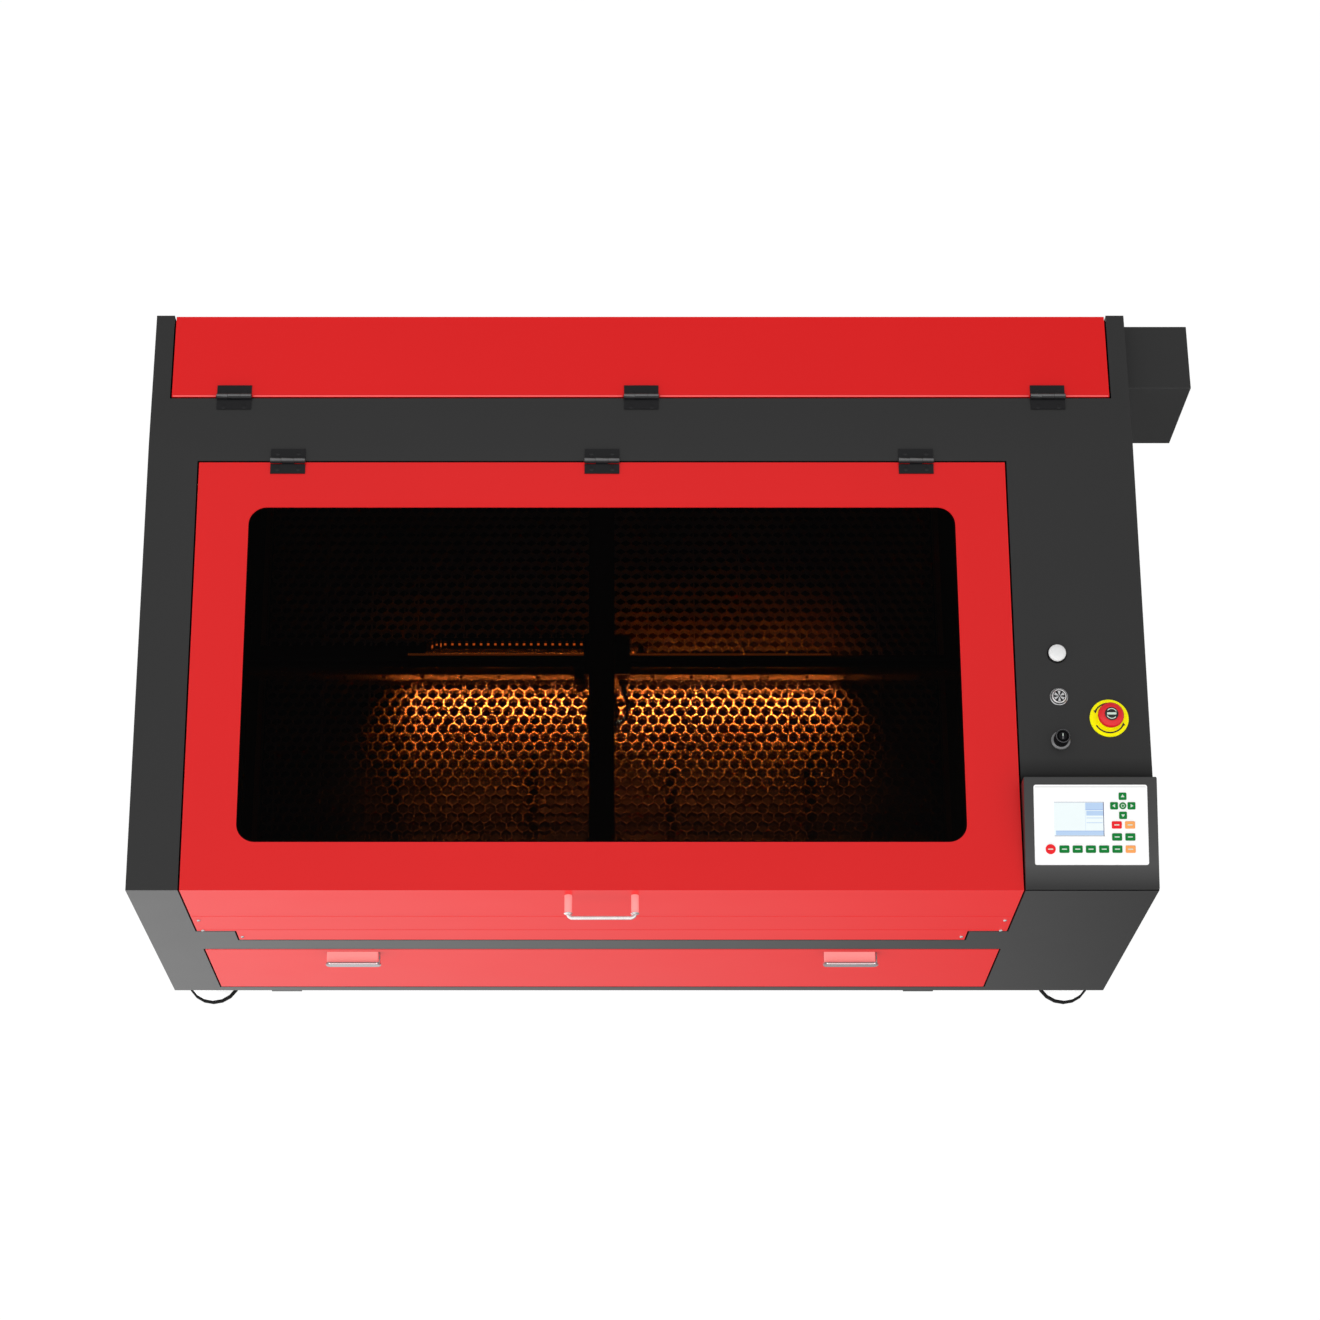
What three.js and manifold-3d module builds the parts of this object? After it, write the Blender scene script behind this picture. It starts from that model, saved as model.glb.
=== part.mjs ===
// A CO2 laser engraver: a wide, low sheet-metal cabinet on four levelling feet. A glazed lid opens the
// work chamber, a rear cover opens the tube bay, and a flap in the front opens the chamber's floor.
// Millimetres. X runs right, Y runs back from the front face, Z runs up from the floor. The cabinet is
// drawn about its own middle, and the whole group is then shifted so that the box around it is centred.

import * as THREE from "three";
import { mergeVertices } from "three/addons/utils/BufferGeometryUtils.js";
import Module from "manifold-3d";

// ---------------------------------------------------------------- driving dimensions
const BODY_W = 1420; // cabinet, side to side
const BODY_D = 870; // cabinet, front to back
const FOOT_H = 100; // floor to the cabinet's underside
const FRONT_H = 504; // underside to the front top edge
const RISE = 42; // the top climbs this much towards the back
const BEND_Y = 661; // where the sloping top turns level
const LID_W = 1160;
const LID_X = -56; // middle of the lid, the flap and the window
const LID_D = 633; // along the slope
const APRON_H = 192; // wide part of the lid's front apron
const APRON_STEP_H = 235.5; // narrow part of the apron
const APRON_STEP_INSET = 56;
const WINDOW_W = 1011;
const WINDOW_S = [68.5, 564]; // front and back edge of the window, along the slope
const WINDOW_R = 26;
const FLAP_TOP = 284.6; // below the front top edge
const FLAP_BOTTOM = 483;
const COVER_W = 1362; // rear cover over the tube bay
const COVER_Y = 736.5; // its front edge
const COVER_DROP = 122; // how far it wraps down the back
const EXT_REACH = 98; // tube extension box, out of the right side
const EXT_Y = 768;
const EXT_Z = [175, -8]; // bottom and top, below the front top edge
const CONSOLE_W = 184;
const CONSOLE_Y = 151.2;
const CONSOLE_H = 40; // its back edge, above the front top edge
const SHEET = 2; // sheet metal
const CLEAR = 0.3; // between pieces that touch
const SLOT = 2.5; // shadow gap round the lid, the cover and the flap
const COLLAR_OUT = 40; // exhaust collar, out of the back
const HANDLE_REACH = 35; // lid handle, out of the front

// ---------------------------------------------------------------- places worked out from them
const HALF_W = BODY_W / 2;
const TOP = FOOT_H + FRONT_H; // the front top edge
const REAR_TOP = TOP + RISE;
const SLOPE = Math.atan2(RISE, BEND_Y);
const FLOOR_TOP = FOOT_H + SHEET;
const LID_L = LID_X - LID_W / 2;
const LID_R = LID_X + LID_W / 2;
const AXIS_H = 4.5; // hinge axes stand this far above the top surface
const LID_AXIS_S = LID_D + SLOT / 2;
const COVER_AXIS_Y = COVER_Y - SLOT / 2;
const DECK_HOLE_S = LID_D + SLOT;
const BULKHEAD_Y = 731;
const SHELF_Z = 440;
const WALL_L = LID_L - 10; // inner faces of the chamber walls
const WALL_R = LID_R + 10;
const BEAM_LINE_Z = TOP - 65; // height of the laser beam
const TUBE_R = 40;
const TUBE_Y = EXT_Y + TUBE_R + 4;
const MIRROR_X = LID_L + 24; // the laser beam runs forward along this line
const FAN = { x: -300, z: 270, r: 72 };
const GANTRY_Y = 343; // middle of the cross beam
const BEAM_Y = [GANTRY_Y - 1, GANTRY_Y + 18]; // front and back face of its profile
const GUIDE = { thick: 6, z0: 12, z1: 33 }; // the rail on the profile's front, above its bottom
const GANTRY_TOP = TOP - 30;
const GANTRY_BOTTOM = GANTRY_TOP - 46;
const RAIL_TOP = GANTRY_BOTTOM - 3;
const HEAD_Y = GANTRY_Y - 60;
const BED_TOP = TOP - 120;
const BED = { x0: LID_X - 500, x1: LID_X + 500, y0: 45, y1: 655, thick: 16 };
const SCREW_XS = [LID_X - 544, LID_X + 544];
const SCREW_YS = [90, 610];
const DRIVE_SHAFT = { y: 700, z: RAIL_TOP - 15, r: 6 };
const STRUT_BASE = { y: 560, z: 590 };
const STRUT_LID = { s: 395, h: -24 }; // where the strut meets the lid
const STRUT_SIDE = 568; // either side of the lid's middle

// ---------------------------------------------------------------- materials
function finish(color, roughness, metalness, opacity = 1) {
  const look = { color, roughness, metalness };
  return new THREE.MeshStandardMaterial(opacity < 1 ? { ...look, transparent: true, opacity } : look);
}
const RED = finish(0xd8282c, 0.35, 0.0);
const DARK = finish(0x3a3a3a, 0.5, 0.1);
const BLACK = finish(0x151515, 0.4, 0.1);
const WHITE = finish(0xf4f4f4, 0.3, 0.0);
const YELLOW = finish(0xf2e416, 0.4, 0.0);
const CHROME = finish(0xd0d4d8, 0.12, 1.0);
const STEEL = finish(0xb4b6b8, 0.35, 1.0);
const ALUMINIUM = finish(0xb9bcbf, 0.4, 0.9);
const GLASS = finish(0xe8f2f4, 0.05, 0.0, 0.35);
const SMOKED = finish(0x3a1c0a, 0.08, 0.0, 0.6);
const GALVANISED = finish(0x9a9fa2, 0.45, 0.8);

// ---------------------------------------------------------------- solids
const wasm = await Module();
wasm.setup();

// A closed geometry as a solid that can be joined and cut.
function solid(geometry) {
  const bare = geometry.clone();
  bare.deleteAttribute("normal");
  bare.deleteAttribute("uv");
  const merged = mergeVertices(bare, 1e-4);
  const data = {
    numProp: 3,
    vertProperties: merged.attributes.position.array,
    triVerts: new Uint32Array(merged.index.array),
  };
  return new wasm.Manifold(new wasm.Mesh(data));
}

function geometryOf(made) {
  const data = made.getMesh();
  const corners = new Float32Array(data.numVert * 3);
  for (let i = 0; i < data.numVert; i++) {
    const from = i * data.numProp;
    corners.set(data.vertProperties.subarray(from, from + 3), i * 3);
  }
  const geometry = new THREE.BufferGeometry();
  geometry.setAttribute("position", new THREE.BufferAttribute(corners, 3));
  geometry.setIndex(new THREE.BufferAttribute(data.triVerts, 1));
  geometry.computeVertexNormals();
  return geometry;
}

// The first list joined together, less every geometry in the second.
function shape(joined, cut = []) {
  let made = joined.map(solid).reduce((all, one) => all.add(one));
  for (const geometry of cut) made = made.subtract(solid(geometry));
  return geometryOf(made);
}

function box(x0, x1, y0, y1, z0, z1) {
  const geometry = new THREE.BoxGeometry(x1 - x0, y1 - y0, z1 - z0);
  return geometry.translate((x0 + x1) / 2, (y0 + y1) / 2, (z0 + z1) / 2);
}

// A cylinder, cone or disc along an axis; at is the middle of its low end.
function rod(axis, at, length, r, rTop = r, sides = 24) {
  const geometry = new THREE.CylinderGeometry(rTop, r, length, sides).translate(0, length / 2, 0);
  if (axis === "z") geometry.rotateX(Math.PI / 2);
  if (axis === "x") geometry.rotateZ(-Math.PI / 2);
  return geometry.translate(...at);
}

// A turned solid on a vertical axis, from [radius, height] pairs that run up the outside.
function turned(profile, sides = 24) {
  const outline = profile.map(([r, z]) => new THREE.Vector2(r, z));
  return new THREE.LatheGeometry(outline, sides).rotateX(Math.PI / 2);
}

function outlineOf(points) {
  return new THREE.Shape(points.map(([a, b]) => new THREE.Vector2(a, b)));
}

// An outline in Y and Z, drawn out along X.
function alongX(points, x0, x1) {
  const geometry = new THREE.ExtrudeGeometry(outlineOf(points), { depth: x1 - x0, bevelEnabled: false });
  const turn = new THREE.Matrix4().makeBasis(
    new THREE.Vector3(0, 1, 0),
    new THREE.Vector3(0, 0, 1),
    new THREE.Vector3(1, 0, 0),
  );
  return geometry.applyMatrix4(turn).translate(x0, 0, 0);
}

// An outline in X and Z, drawn out along Y.
function alongY(points, y0, y1) {
  const geometry = new THREE.ExtrudeGeometry(outlineOf(points), { depth: y1 - y0, bevelEnabled: false });
  return geometry.rotateX(Math.PI / 2).translate(0, y1, 0);
}

function roundedRect(x0, x1, y0, y1, r) {
  const path = new THREE.Shape();
  path.moveTo(x0 + r, y0);
  path.lineTo(x1 - r, y0);
  path.absarc(x1 - r, y0 + r, r, -Math.PI / 2, 0, false);
  path.lineTo(x1, y1 - r);
  path.absarc(x1 - r, y1 - r, r, 0, Math.PI / 2, false);
  path.lineTo(x0 + r, y1);
  path.absarc(x0 + r, y1 - r, r, Math.PI / 2, Math.PI, false);
  path.lineTo(x0, y0 + r);
  path.absarc(x0 + r, y0 + r, r, Math.PI, Math.PI * 1.5, false);
  return path;
}

function roundedPlate(x0, x1, y0, y1, z0, z1, r) {
  const options = { depth: z1 - z0, bevelEnabled: false, curveSegments: 6 };
  return new THREE.ExtrudeGeometry(roundedRect(x0, x1, y0, y1, r), options).translate(0, 0, z0);
}

// Turns a geometry drawn as (x, along the slope, above the slope) into its place on the top.
function onSlope(geometry) {
  return geometry.rotateX(SLOPE).translate(0, 0, TOP);
}

function slopePoint(s, h) {
  return {
    y: s * Math.cos(SLOPE) - h * Math.sin(SLOPE),
    z: TOP + s * Math.sin(SLOPE) + h * Math.cos(SLOPE),
  };
}

// Height of the top surface at a depth y.
function topAt(y) {
  return y < BEND_Y ? TOP + (y * RISE) / BEND_Y : REAR_TOP;
}

function mesh(name, geometry, material) {
  const made = new THREE.Mesh(geometry, material);
  made.name = name;
  return made;
}

// ---------------------------------------------------------------- cabinet
const INNER_X = HALF_W - SHEET - CLEAR;
const INNER_FRONT = SHEET + CLEAR;
const INNER_BACK = BODY_D - SHEET - CLEAR;

function basePan() {
  const padW = 46;
  const padDeep = 30;
  const padThick = 6;
  const pads = [-483, 483].flatMap((offset) => {
    const x0 = LID_X + offset - padW / 2;
    return [
      box(x0, x0 + padW, INNER_FRONT, padDeep, FOOT_H - padThick, FOOT_H + 1),
      box(x0, x0 + padW, 0, INNER_FRONT + 1, FOOT_H - padThick, FOOT_H - CLEAR),
    ];
  });
  return shape([box(-INNER_X, INNER_X, INNER_FRONT, INNER_BACK, FOOT_H, FLOOR_TOP), ...pads]);
}

// The front: one sheet with a stepped notch for the apron and an opening for the flap.
function frontFrame() {
  const flange = 18;
  const left = LID_L - SLOT;
  const right = LID_R + SLOT;
  const top = TOP - SHEET - CLEAR;
  const step = TOP - APRON_H - SLOT;
  const notch = TOP - APRON_STEP_H - SLOT;
  const inset = APRON_STEP_INSET;
  const outline = [
    [-HALF_W, FOOT_H],
    [HALF_W, FOOT_H],
    [HALF_W, top],
    [right, top],
    [right, step],
    [right - inset, step],
    [right - inset, notch],
    [left + inset, notch],
    [left + inset, step],
    [left, step],
    [left, top],
    [-HALF_W, top],
  ];
  const high = TOP - FLAP_TOP + SLOT;
  const low = TOP - FLAP_BOTTOM - SLOT;
  const back = SHEET + flange;
  const returns = [
    box(left - SHEET, right + SHEET, SHEET / 2, back, high, high + SHEET),
    box(left - SHEET, left, SHEET / 2, back, low, high + SHEET),
    box(right, right + SHEET, SHEET / 2, back, low, high + SHEET),
    box(left - SHEET, right + SHEET, SHEET / 2, back, low - SHEET, low),
    box(left + inset, right - inset, SHEET / 2, back, notch - SHEET, notch),
    box(left - SHEET, left, SHEET / 2, back, step, top),
    box(right, right + SHEET, SHEET / 2, back, step, top),
  ];
  const opening = box(left, right, -1, back + 1, low, high);
  return shape([alongY(outline, 0, SHEET), ...returns], [opening]);
}

// A side wall follows the top: sloping, then level from the bend.
function sidePanel(outerX, innerX, holes = []) {
  const drop = SHEET + CLEAR;
  const outline = [
    [INNER_FRONT, FOOT_H],
    [INNER_BACK, FOOT_H],
    [INNER_BACK, REAR_TOP - drop],
    [BEND_Y, REAR_TOP - drop],
    [INNER_FRONT, topAt(INNER_FRONT) - drop],
  ];
  return shape([alongX(outline, Math.min(outerX, innerX), Math.max(outerX, innerX))], holes);
}

const CONTROLS = {
  light: { x: 585.3, s: 343 },
  laser: { x: 585, s: 279 },
  key: { x: 584.5, s: 214.5 },
  estop: { x: 653.8, s: 248 },
};
const PANEL_HOLE_R = 11.4;

// The top: one bent sheet with the lid's and the rear cover's openings and the control holes.
function topDeck() {
  const curb = 15;
  const sheet = [
    [0, TOP],
    [BEND_Y, REAR_TOP],
    [BODY_D, REAR_TOP],
    [BODY_D, REAR_TOP - SHEET],
    [BEND_Y, REAR_TOP - SHEET],
    [0, TOP - SHEET],
  ];
  const left = LID_L - SLOT;
  const right = LID_R + SLOT;
  const curbs = [
    onSlope(box(left - SHEET, left, 25, DECK_HOLE_S + SHEET, -curb, -SHEET / 2)),
    onSlope(box(right, right + SHEET, 25, DECK_HOLE_S + SHEET, -curb, -SHEET / 2)),
    onSlope(box(left - SHEET, right + SHEET, DECK_HOLE_S, DECK_HOLE_S + SHEET, -curb, -SHEET / 2)),
  ];
  const coverHalf = COVER_W / 2 + SLOT;
  const cuts = [
    onSlope(box(left, right, -20, DECK_HOLE_S, -curb - 1, 20)),
    box(-coverHalf, coverHalf, COVER_Y - SLOT, BODY_D + 1, REAR_TOP - 20, REAR_TOP + 20),
    ...Object.values(CONTROLS).map(({ x, s }) => onSlope(rod("z", [x, s, -10], 20, PANEL_HOLE_R))),
  ];
  return shape([alongX(sheet, -HALF_W, HALF_W), ...curbs], cuts);
}

function rearPanel() {
  const ear = COVER_W / 2 + SLOT;
  const low = REAR_TOP - COVER_DROP - SLOT;
  const high = REAR_TOP - SHEET - CLEAR;
  const outline = [
    [-HALF_W, FOOT_H],
    [HALF_W, FOOT_H],
    [HALF_W, high],
    [ear, high],
    [ear, low],
    [-ear, low],
    [-ear, high],
    [-HALF_W, high],
  ];
  const holes = [
    rod("y", [FAN.x, BODY_D - 10, FAN.z], 20, FAN.r + 4.5, FAN.r + 4.5, 40),
    box(INLET.x - 25, INLET.x + 25, BODY_D - 10, BODY_D + 10, INLET.z - 15, INLET.z + 15),
  ];
  return shape([alongY(outline, BODY_D - SHEET, BODY_D)], holes);
}

// The wall behind the chamber, bent back into the shelf that carries the laser tube.
function tubeBulkhead() {
  const wall = box(-INNER_X, INNER_X, BULKHEAD_Y, BULKHEAD_Y + SHEET, FLOOR_TOP + CLEAR, REAR_TOP - 2.5);
  const shelf = box(-INNER_X, INNER_X, BULKHEAD_Y + 1, INNER_BACK, SHELF_Z, SHELF_Z + SHEET);
  const holes = [
    rod("y", [MIRROR_X, BULKHEAD_Y - 5, BEAM_LINE_Z], 15, 12),
    rod("y", [FAN.x, BULKHEAD_Y - 5, FAN.z], 15, FAN.r - 6, FAN.r - 6, 40),
  ];
  return shape([wall, shelf], holes);
}

// A chamber side wall with the stud that a lid strut turns on.
function chamberWall(face, out, holes = []) {
  const drop = SHEET + CLEAR;
  const front = SHEET + 20 + CLEAR;
  const back = BULKHEAD_Y - CLEAR;
  const outline = [
    [front, FLOOR_TOP + CLEAR],
    [back, FLOOR_TOP + CLEAR],
    [back, REAR_TOP - drop],
    [BEND_Y, REAR_TOP - drop],
    [front, topAt(front) - drop],
  ];
  const wall = alongX(outline, Math.min(face, face + out * SHEET), Math.max(face, face + out * SHEET));
  const strutX = LID_X + out * STRUT_SIDE;
  const studEnd = strutX + out * (STRUT_EYE + CLEAR);
  const low = Math.min(studEnd, face + out);
  const stud = rod("x", [low, STRUT_BASE.y, STRUT_BASE.z], Math.abs(face + out - studEnd), 5);
  return shape([wall, stud], holes);
}

// The open-ended box that takes the laser tube's far end.
function extensionBox() {
  const x0 = HALF_W + CLEAR;
  const x1 = HALF_W + EXT_REACH;
  const z0 = TOP - EXT_Z[0];
  const z1 = TOP - EXT_Z[1];
  const lip = 12;
  const shell = box(x0, x1, EXT_Y, BODY_D, z0, z1);
  const hollow = box(x0 - 1, x1 - SHEET, EXT_Y + SHEET, BODY_D - SHEET, z0 + SHEET, z1 - SHEET);
  const vents = [0, 1, 2, 3, 4].map((i) => {
    const z = z0 + 40 + i * 14;
    return box(x1 - 5, x1 + 5, EXT_Y + 22, BODY_D - 22, z, z + 4);
  });
  const flange = box(x0, x0 + SHEET, EXT_Y + 1, BODY_D - 1, z0 + 1, z0 + lip);
  return shape([shape([shell], [hollow, ...vents]), flange]);
}

// The wedge that tilts the control panel towards the operator, open underneath.
function consoleHousing() {
  const x0 = HALF_W - CONSOLE_W;
  const lip = 4;
  const outer = [
    [0, TOP + CLEAR],
    [CONSOLE_Y, topAt(CONSOLE_Y) + CLEAR],
    [CONSOLE_Y, TOP + CONSOLE_H],
    [0, TOP + lip],
  ];
  const inner = [
    [SHEET * 6, TOP - 5],
    [CONSOLE_Y - SHEET, TOP - 5],
    [CONSOLE_Y - SHEET, TOP + CONSOLE_H - SHEET - 0.8],
    [SHEET * 6, TOP + lip + (CONSOLE_H - lip) * ((SHEET * 6) / CONSOLE_Y) - SHEET],
  ];
  return shape([alongX(outer, x0, HALF_W)], [alongX(inner, x0 + SHEET, HALF_W - SHEET)]);
}

const CONSOLE_TILT = Math.atan2(CONSOLE_H - 4, CONSOLE_Y);

// The keypad and display, one thin plate on the wedge's face.
function controlPanel() {
  const plate = { x0: 539.2, x1: 695.6, s0: 33.4, s1: 144, thick: 2.4, r: 3 };
  const screen = { x0: 566.6, x1: 636.4, s0: 72.5, s1: 120.8 };
  const face = roundedPlate(plate.x0, plate.x1, plate.s0, plate.s1, CLEAR, CLEAR + plate.thick, plate.r);
  const recess = box(screen.x0, screen.x1, screen.s0, screen.s1, CLEAR + plate.thick - 0.6, 10);
  return shape([face], [recess]).rotateX(CONSOLE_TILT).translate(0, 0, TOP + 4);
}

// ---------------------------------------------------------------- feet
function foot() {
  const top = FOOT_H - CLEAR;
  return turned([
    [0, 0],
    [40, 0],
    [42, 2],
    [42, 9],
    [39, 12],
    [16, 19],
    [11, 24],
    [7, 25],
    [7, top - 22],
    [13, top - 22],
    [13, top - 8],
    [20, top - 6],
    [20, top],
    [0, top],
  ], 18);
}

// ---------------------------------------------------------------- hinges
const HINGE = { w: 50, leaf: 17, thick: 2, r: 4, pinR: 2.2, knuckle: 18 };

// The fixed leaf with its two outer knuckles and the pin. It is drawn with the axis along X at the
// origin and its leaf towards +Y, under the axis; side -1 puts the leaf towards -Y.
function hingeFixed(x, side) {
  const { w, leaf, thick, r, pinR, knuckle } = HINGE;
  const inner = knuckle / 2 + CLEAR;
  const low = -AXIS_H + CLEAR;
  const near = SLOT / 2 + 0.3;
  const plate = box(x - w / 2, x + w / 2, near, leaf + 2, low, low + thick);
  const pieces = [plate];
  for (const [x0, x1] of [[x - w / 2, x - inner], [x + inner, x + w / 2]]) {
    pieces.push(rod("x", [x0, 0, 0], x1 - x0, r, r, 16));
    pieces.push(box(x0, x1, 0, near + 2, low, low + thick));
  }
  const pin = rod("x", [x - w / 2 - 0.8, 0, 0], w + 1.6, pinR, pinR, 12);
  const room = rod("x", [x - inner, 0, 0], 2 * inner, r + 2 * CLEAR, r + 2 * CLEAR, 16);
  const made = shape([shape(pieces, [room]), pin]);
  return side < 0 ? made.applyMatrix4(new THREE.Matrix4().makeRotationZ(Math.PI)).translate(2 * x, 0, 0) : made;
}

// The moving leaf with the middle knuckle, towards -Y; side 1 puts it towards +Y. It is joined to its door.
function hingeMoving(x, side) {
  const { leaf, thick, r, pinR, knuckle, w } = HINGE;
  const half = knuckle / 2;
  const low = -AXIS_H;
  const plate = box(x - w / 2, x + w / 2, -leaf - 2, -SLOT / 2 - 3.2, low - 1, low + thick);
  const neck = box(x - half, x + half, -leaf, -SLOT / 2 + 0.6, low - 1, low + thick);
  const ring = rod("x", [x - half, 0, 0], knuckle, r, r, 16);
  const bore = rod("x", [x - half - 1, 0, 0], knuckle + 2, pinR + CLEAR, pinR + CLEAR, 12);
  const made = shape([plate, neck, ring], [bore]);
  return side > 0 ? made.applyMatrix4(new THREE.Matrix4().makeRotationZ(Math.PI)).translate(2 * x, 0, 0) : made;
}

const LID_HINGE_XS = [LID_X - 452, LID_X, LID_X + 452];
const COVER_HINGE_XS = [-590, 1, 591];

function toLidAxis(geometry) {
  return onSlope(geometry.translate(0, LID_AXIS_S, AXIS_H));
}

function toCoverAxis(geometry) {
  return geometry.translate(0, COVER_AXIS_Y, REAR_TOP + AXIS_H);
}

// ---------------------------------------------------------------- lid
const FLANGE = 20;
const STRUT_R = 9;
const STRUT_EYE = 4; // half the width of a strut's eye

function lidFrame() {
  const [w0, w1] = WINDOW_S;
  const skin = onSlope(box(LID_L, LID_R, 0, LID_D, -SHEET, 0));
  const hole = onSlope(
    roundedPlate(LID_X - WINDOW_W / 2, LID_X + WINDOW_W / 2, w0, w1, -SHEET - 1, 1, WINDOW_R),
  );
  const inset = APRON_STEP_INSET;
  const wide = TOP - APRON_H;
  const narrow = TOP - APRON_STEP_H;
  const apron = [
    [LID_L, TOP],
    [LID_L, wide],
    [LID_L + inset, wide],
    [LID_L + inset, narrow],
    [LID_R - inset, narrow],
    [LID_R - inset, wide],
    [LID_R, wide],
    [LID_R, TOP],
  ];
  const flanges = [
    onSlope(box(LID_L, LID_L + SHEET, 1, LID_D, -FLANGE, -1)),
    onSlope(box(LID_R - SHEET, LID_R, 1, LID_D, -FLANGE, -1)),
    onSlope(box(LID_L, LID_R, LID_D - SHEET, LID_D, -FLANGE, -1)),
    box(LID_L, LID_L + SHEET, 1, FLANGE, wide, TOP - 1),
    box(LID_R - SHEET, LID_R, 1, FLANGE, wide, TOP - 1),
    box(LID_L + inset, LID_R - inset, 1, FLANGE / 2, narrow, narrow + SHEET),
  ];
  const brackets = [-1, 1].flatMap((side) => {
    const eye = LID_X + side * (STRUT_SIDE + STRUT_EYE + CLEAR);
    const face = LID_X + side * (STRUT_SIDE + STRUT_R);
    const x0 = Math.min(face, face - side * SHEET);
    const stud = rod("x", [Math.min(eye, face), STRUT_LID.s, STRUT_LID.h], Math.abs(face - eye), 4, 4, 12);
    return [
      onSlope(box(x0, x0 + SHEET, STRUT_LID.s - 14, STRUT_LID.s + 14, STRUT_LID.h - 10, -1)),
      onSlope(stud),
    ];
  });
  const leaves = LID_HINGE_XS.map((x) => toLidAxis(hingeMoving(x, -1)));
  const sheet = shape([skin], [hole]);
  return shape([sheet, alongY(apron, 0, SHEET), ...flanges, ...brackets, ...leaves]);
}

function windowPane() {
  const lap = 15;
  const [w0, w1] = WINDOW_S;
  const half = WINDOW_W / 2 + lap;
  const thick = 4;
  const top = -SHEET - CLEAR;
  return onSlope(box(LID_X - half, LID_X + half, w0 - lap, w1 + lap, top - thick, top));
}

// A folded channel under the pane, from the frame's front to its back.
function windowBar() {
  const half = 18;
  const top = -SHEET - CLEAR - 4 - CLEAR;
  const bar = box(LID_X - half, LID_X + half, 36, 600, top - 12, top);
  const hollow = box(LID_X - half + SHEET, LID_X + half - SHEET, 30, 606, top - 13, top - SHEET);
  return onSlope(shape([bar], [hollow]));
}

// A round bar bent into a bow, with a collar at each foot.
function lidHandle() {
  const half = 46;
  const r = 5;
  const bend = 9;
  const out = HANDLE_REACH - r;
  const z = TOP - 21;
  const y = -CLEAR;
  const at = (x, depth) => new THREE.Vector3(LID_X + x, depth, z);
  const path = new THREE.CurvePath();
  path.add(new THREE.LineCurve3(at(-half, y), at(-half, -out + bend)));
  path.add(new THREE.QuadraticBezierCurve3(at(-half, -out + bend), at(-half, -out), at(-half + bend, -out)));
  path.add(new THREE.LineCurve3(at(-half + bend, -out), at(half - bend, -out)));
  path.add(new THREE.QuadraticBezierCurve3(at(half - bend, -out), at(half, -out), at(half, -out + bend)));
  path.add(new THREE.LineCurve3(at(half, -out + bend), at(half, y)));
  const section = new THREE.Shape().absarc(0, 0, r, 0, Math.PI * 2);
  const bow = new THREE.ExtrudeGeometry(section, { extrudePath: path, steps: 32, curveSegments: 4 });
  const collars = [-half, half].map((x) => rod("y", [LID_X + x, y - 4, z], 4, 8, 8, 20));
  return shape([bow, ...collars]);
}

// ---------------------------------------------------------------- rear cover
function rearCover() {
  const half = COVER_W / 2;
  const back = BODY_D - SHEET;
  const low = REAR_TOP - COVER_DROP;
  const pieces = [
    box(-half, half, COVER_Y, back, REAR_TOP - SHEET, REAR_TOP),
    box(-half, half, back - SHEET, back, low, REAR_TOP),
    box(-half, -half + SHEET, COVER_Y, back, REAR_TOP - FLANGE, REAR_TOP - 1),
    box(half - SHEET, half, COVER_Y, back, REAR_TOP - FLANGE, REAR_TOP - 1),
    box(-half, half, COVER_Y, COVER_Y + SHEET, REAR_TOP - 12, REAR_TOP - 1),
    box(-half, half, back - 7, back - 1, low, low + SHEET),
    ...COVER_HINGE_XS.map((x) => toCoverAxis(hingeMoving(x, 1))),
  ];
  return shape(pieces);
}

// ---------------------------------------------------------------- front flap
function frontFlap() {
  const low = TOP - FLAP_BOTTOM;
  const high = TOP - FLAP_TOP;
  const deep = 15;
  return shape([
    box(LID_L, LID_R, 0, SHEET, low, high),
    box(LID_L, LID_L + SHEET, 1, deep, low, high),
    box(LID_R - SHEET, LID_R, 1, deep, low, high),
    box(LID_L, LID_R, 1, deep, high - SHEET, high),
    box(LID_L, LID_R, 1, deep, low, low + SHEET),
  ]);
}

const PULL = { w: 81, top: 292, tall: 20, out: 20, shelfW: 70, wall: 3 };

// A shell pull: a shelf on the flap that turns down into a wider, round-ended front lip.
function flapPull(x) {
  const { w, top, tall, out, shelfW, wall } = PULL;
  const z1 = TOP - top;
  const r = tall / 2 - 0.5;
  const lip = roundedPlate(x - w / 2, x + w / 2, -tall, 0, 0, wall + 2, r)
    .rotateX(Math.PI / 2)
    .translate(0, -out + wall + 2, z1);
  const half = shelfW / 2;
  const y0 = -out + 1;
  const shell = box(x - half, x + half, y0, -CLEAR, z1 - tall + 4, z1);
  const hollow = box(x - half + wall, x + half - wall, -out + wall + 2, 1, z1 - tall - 1, z1 - wall);
  return shape([lip, shell], [hollow]);
}

// ---------------------------------------------------------------- tube bay
function laserTube() {
  const r = TUBE_R;
  const left = -560;
  const right = HALF_W + EXT_REACH - 24;
  const profile = [
    [0, left],
    [14, left],
    [14, left + 38],
    [22, left + 46],
    [r, left + 58],
    [r, right - 62],
    [24, right - 48],
    [15, right - 40],
    [15, right],
    [0, right],
  ];
  return turned(profile, 28).rotateY(Math.PI / 2).translate(0, TUBE_Y, BEAM_LINE_Z);
}

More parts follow.
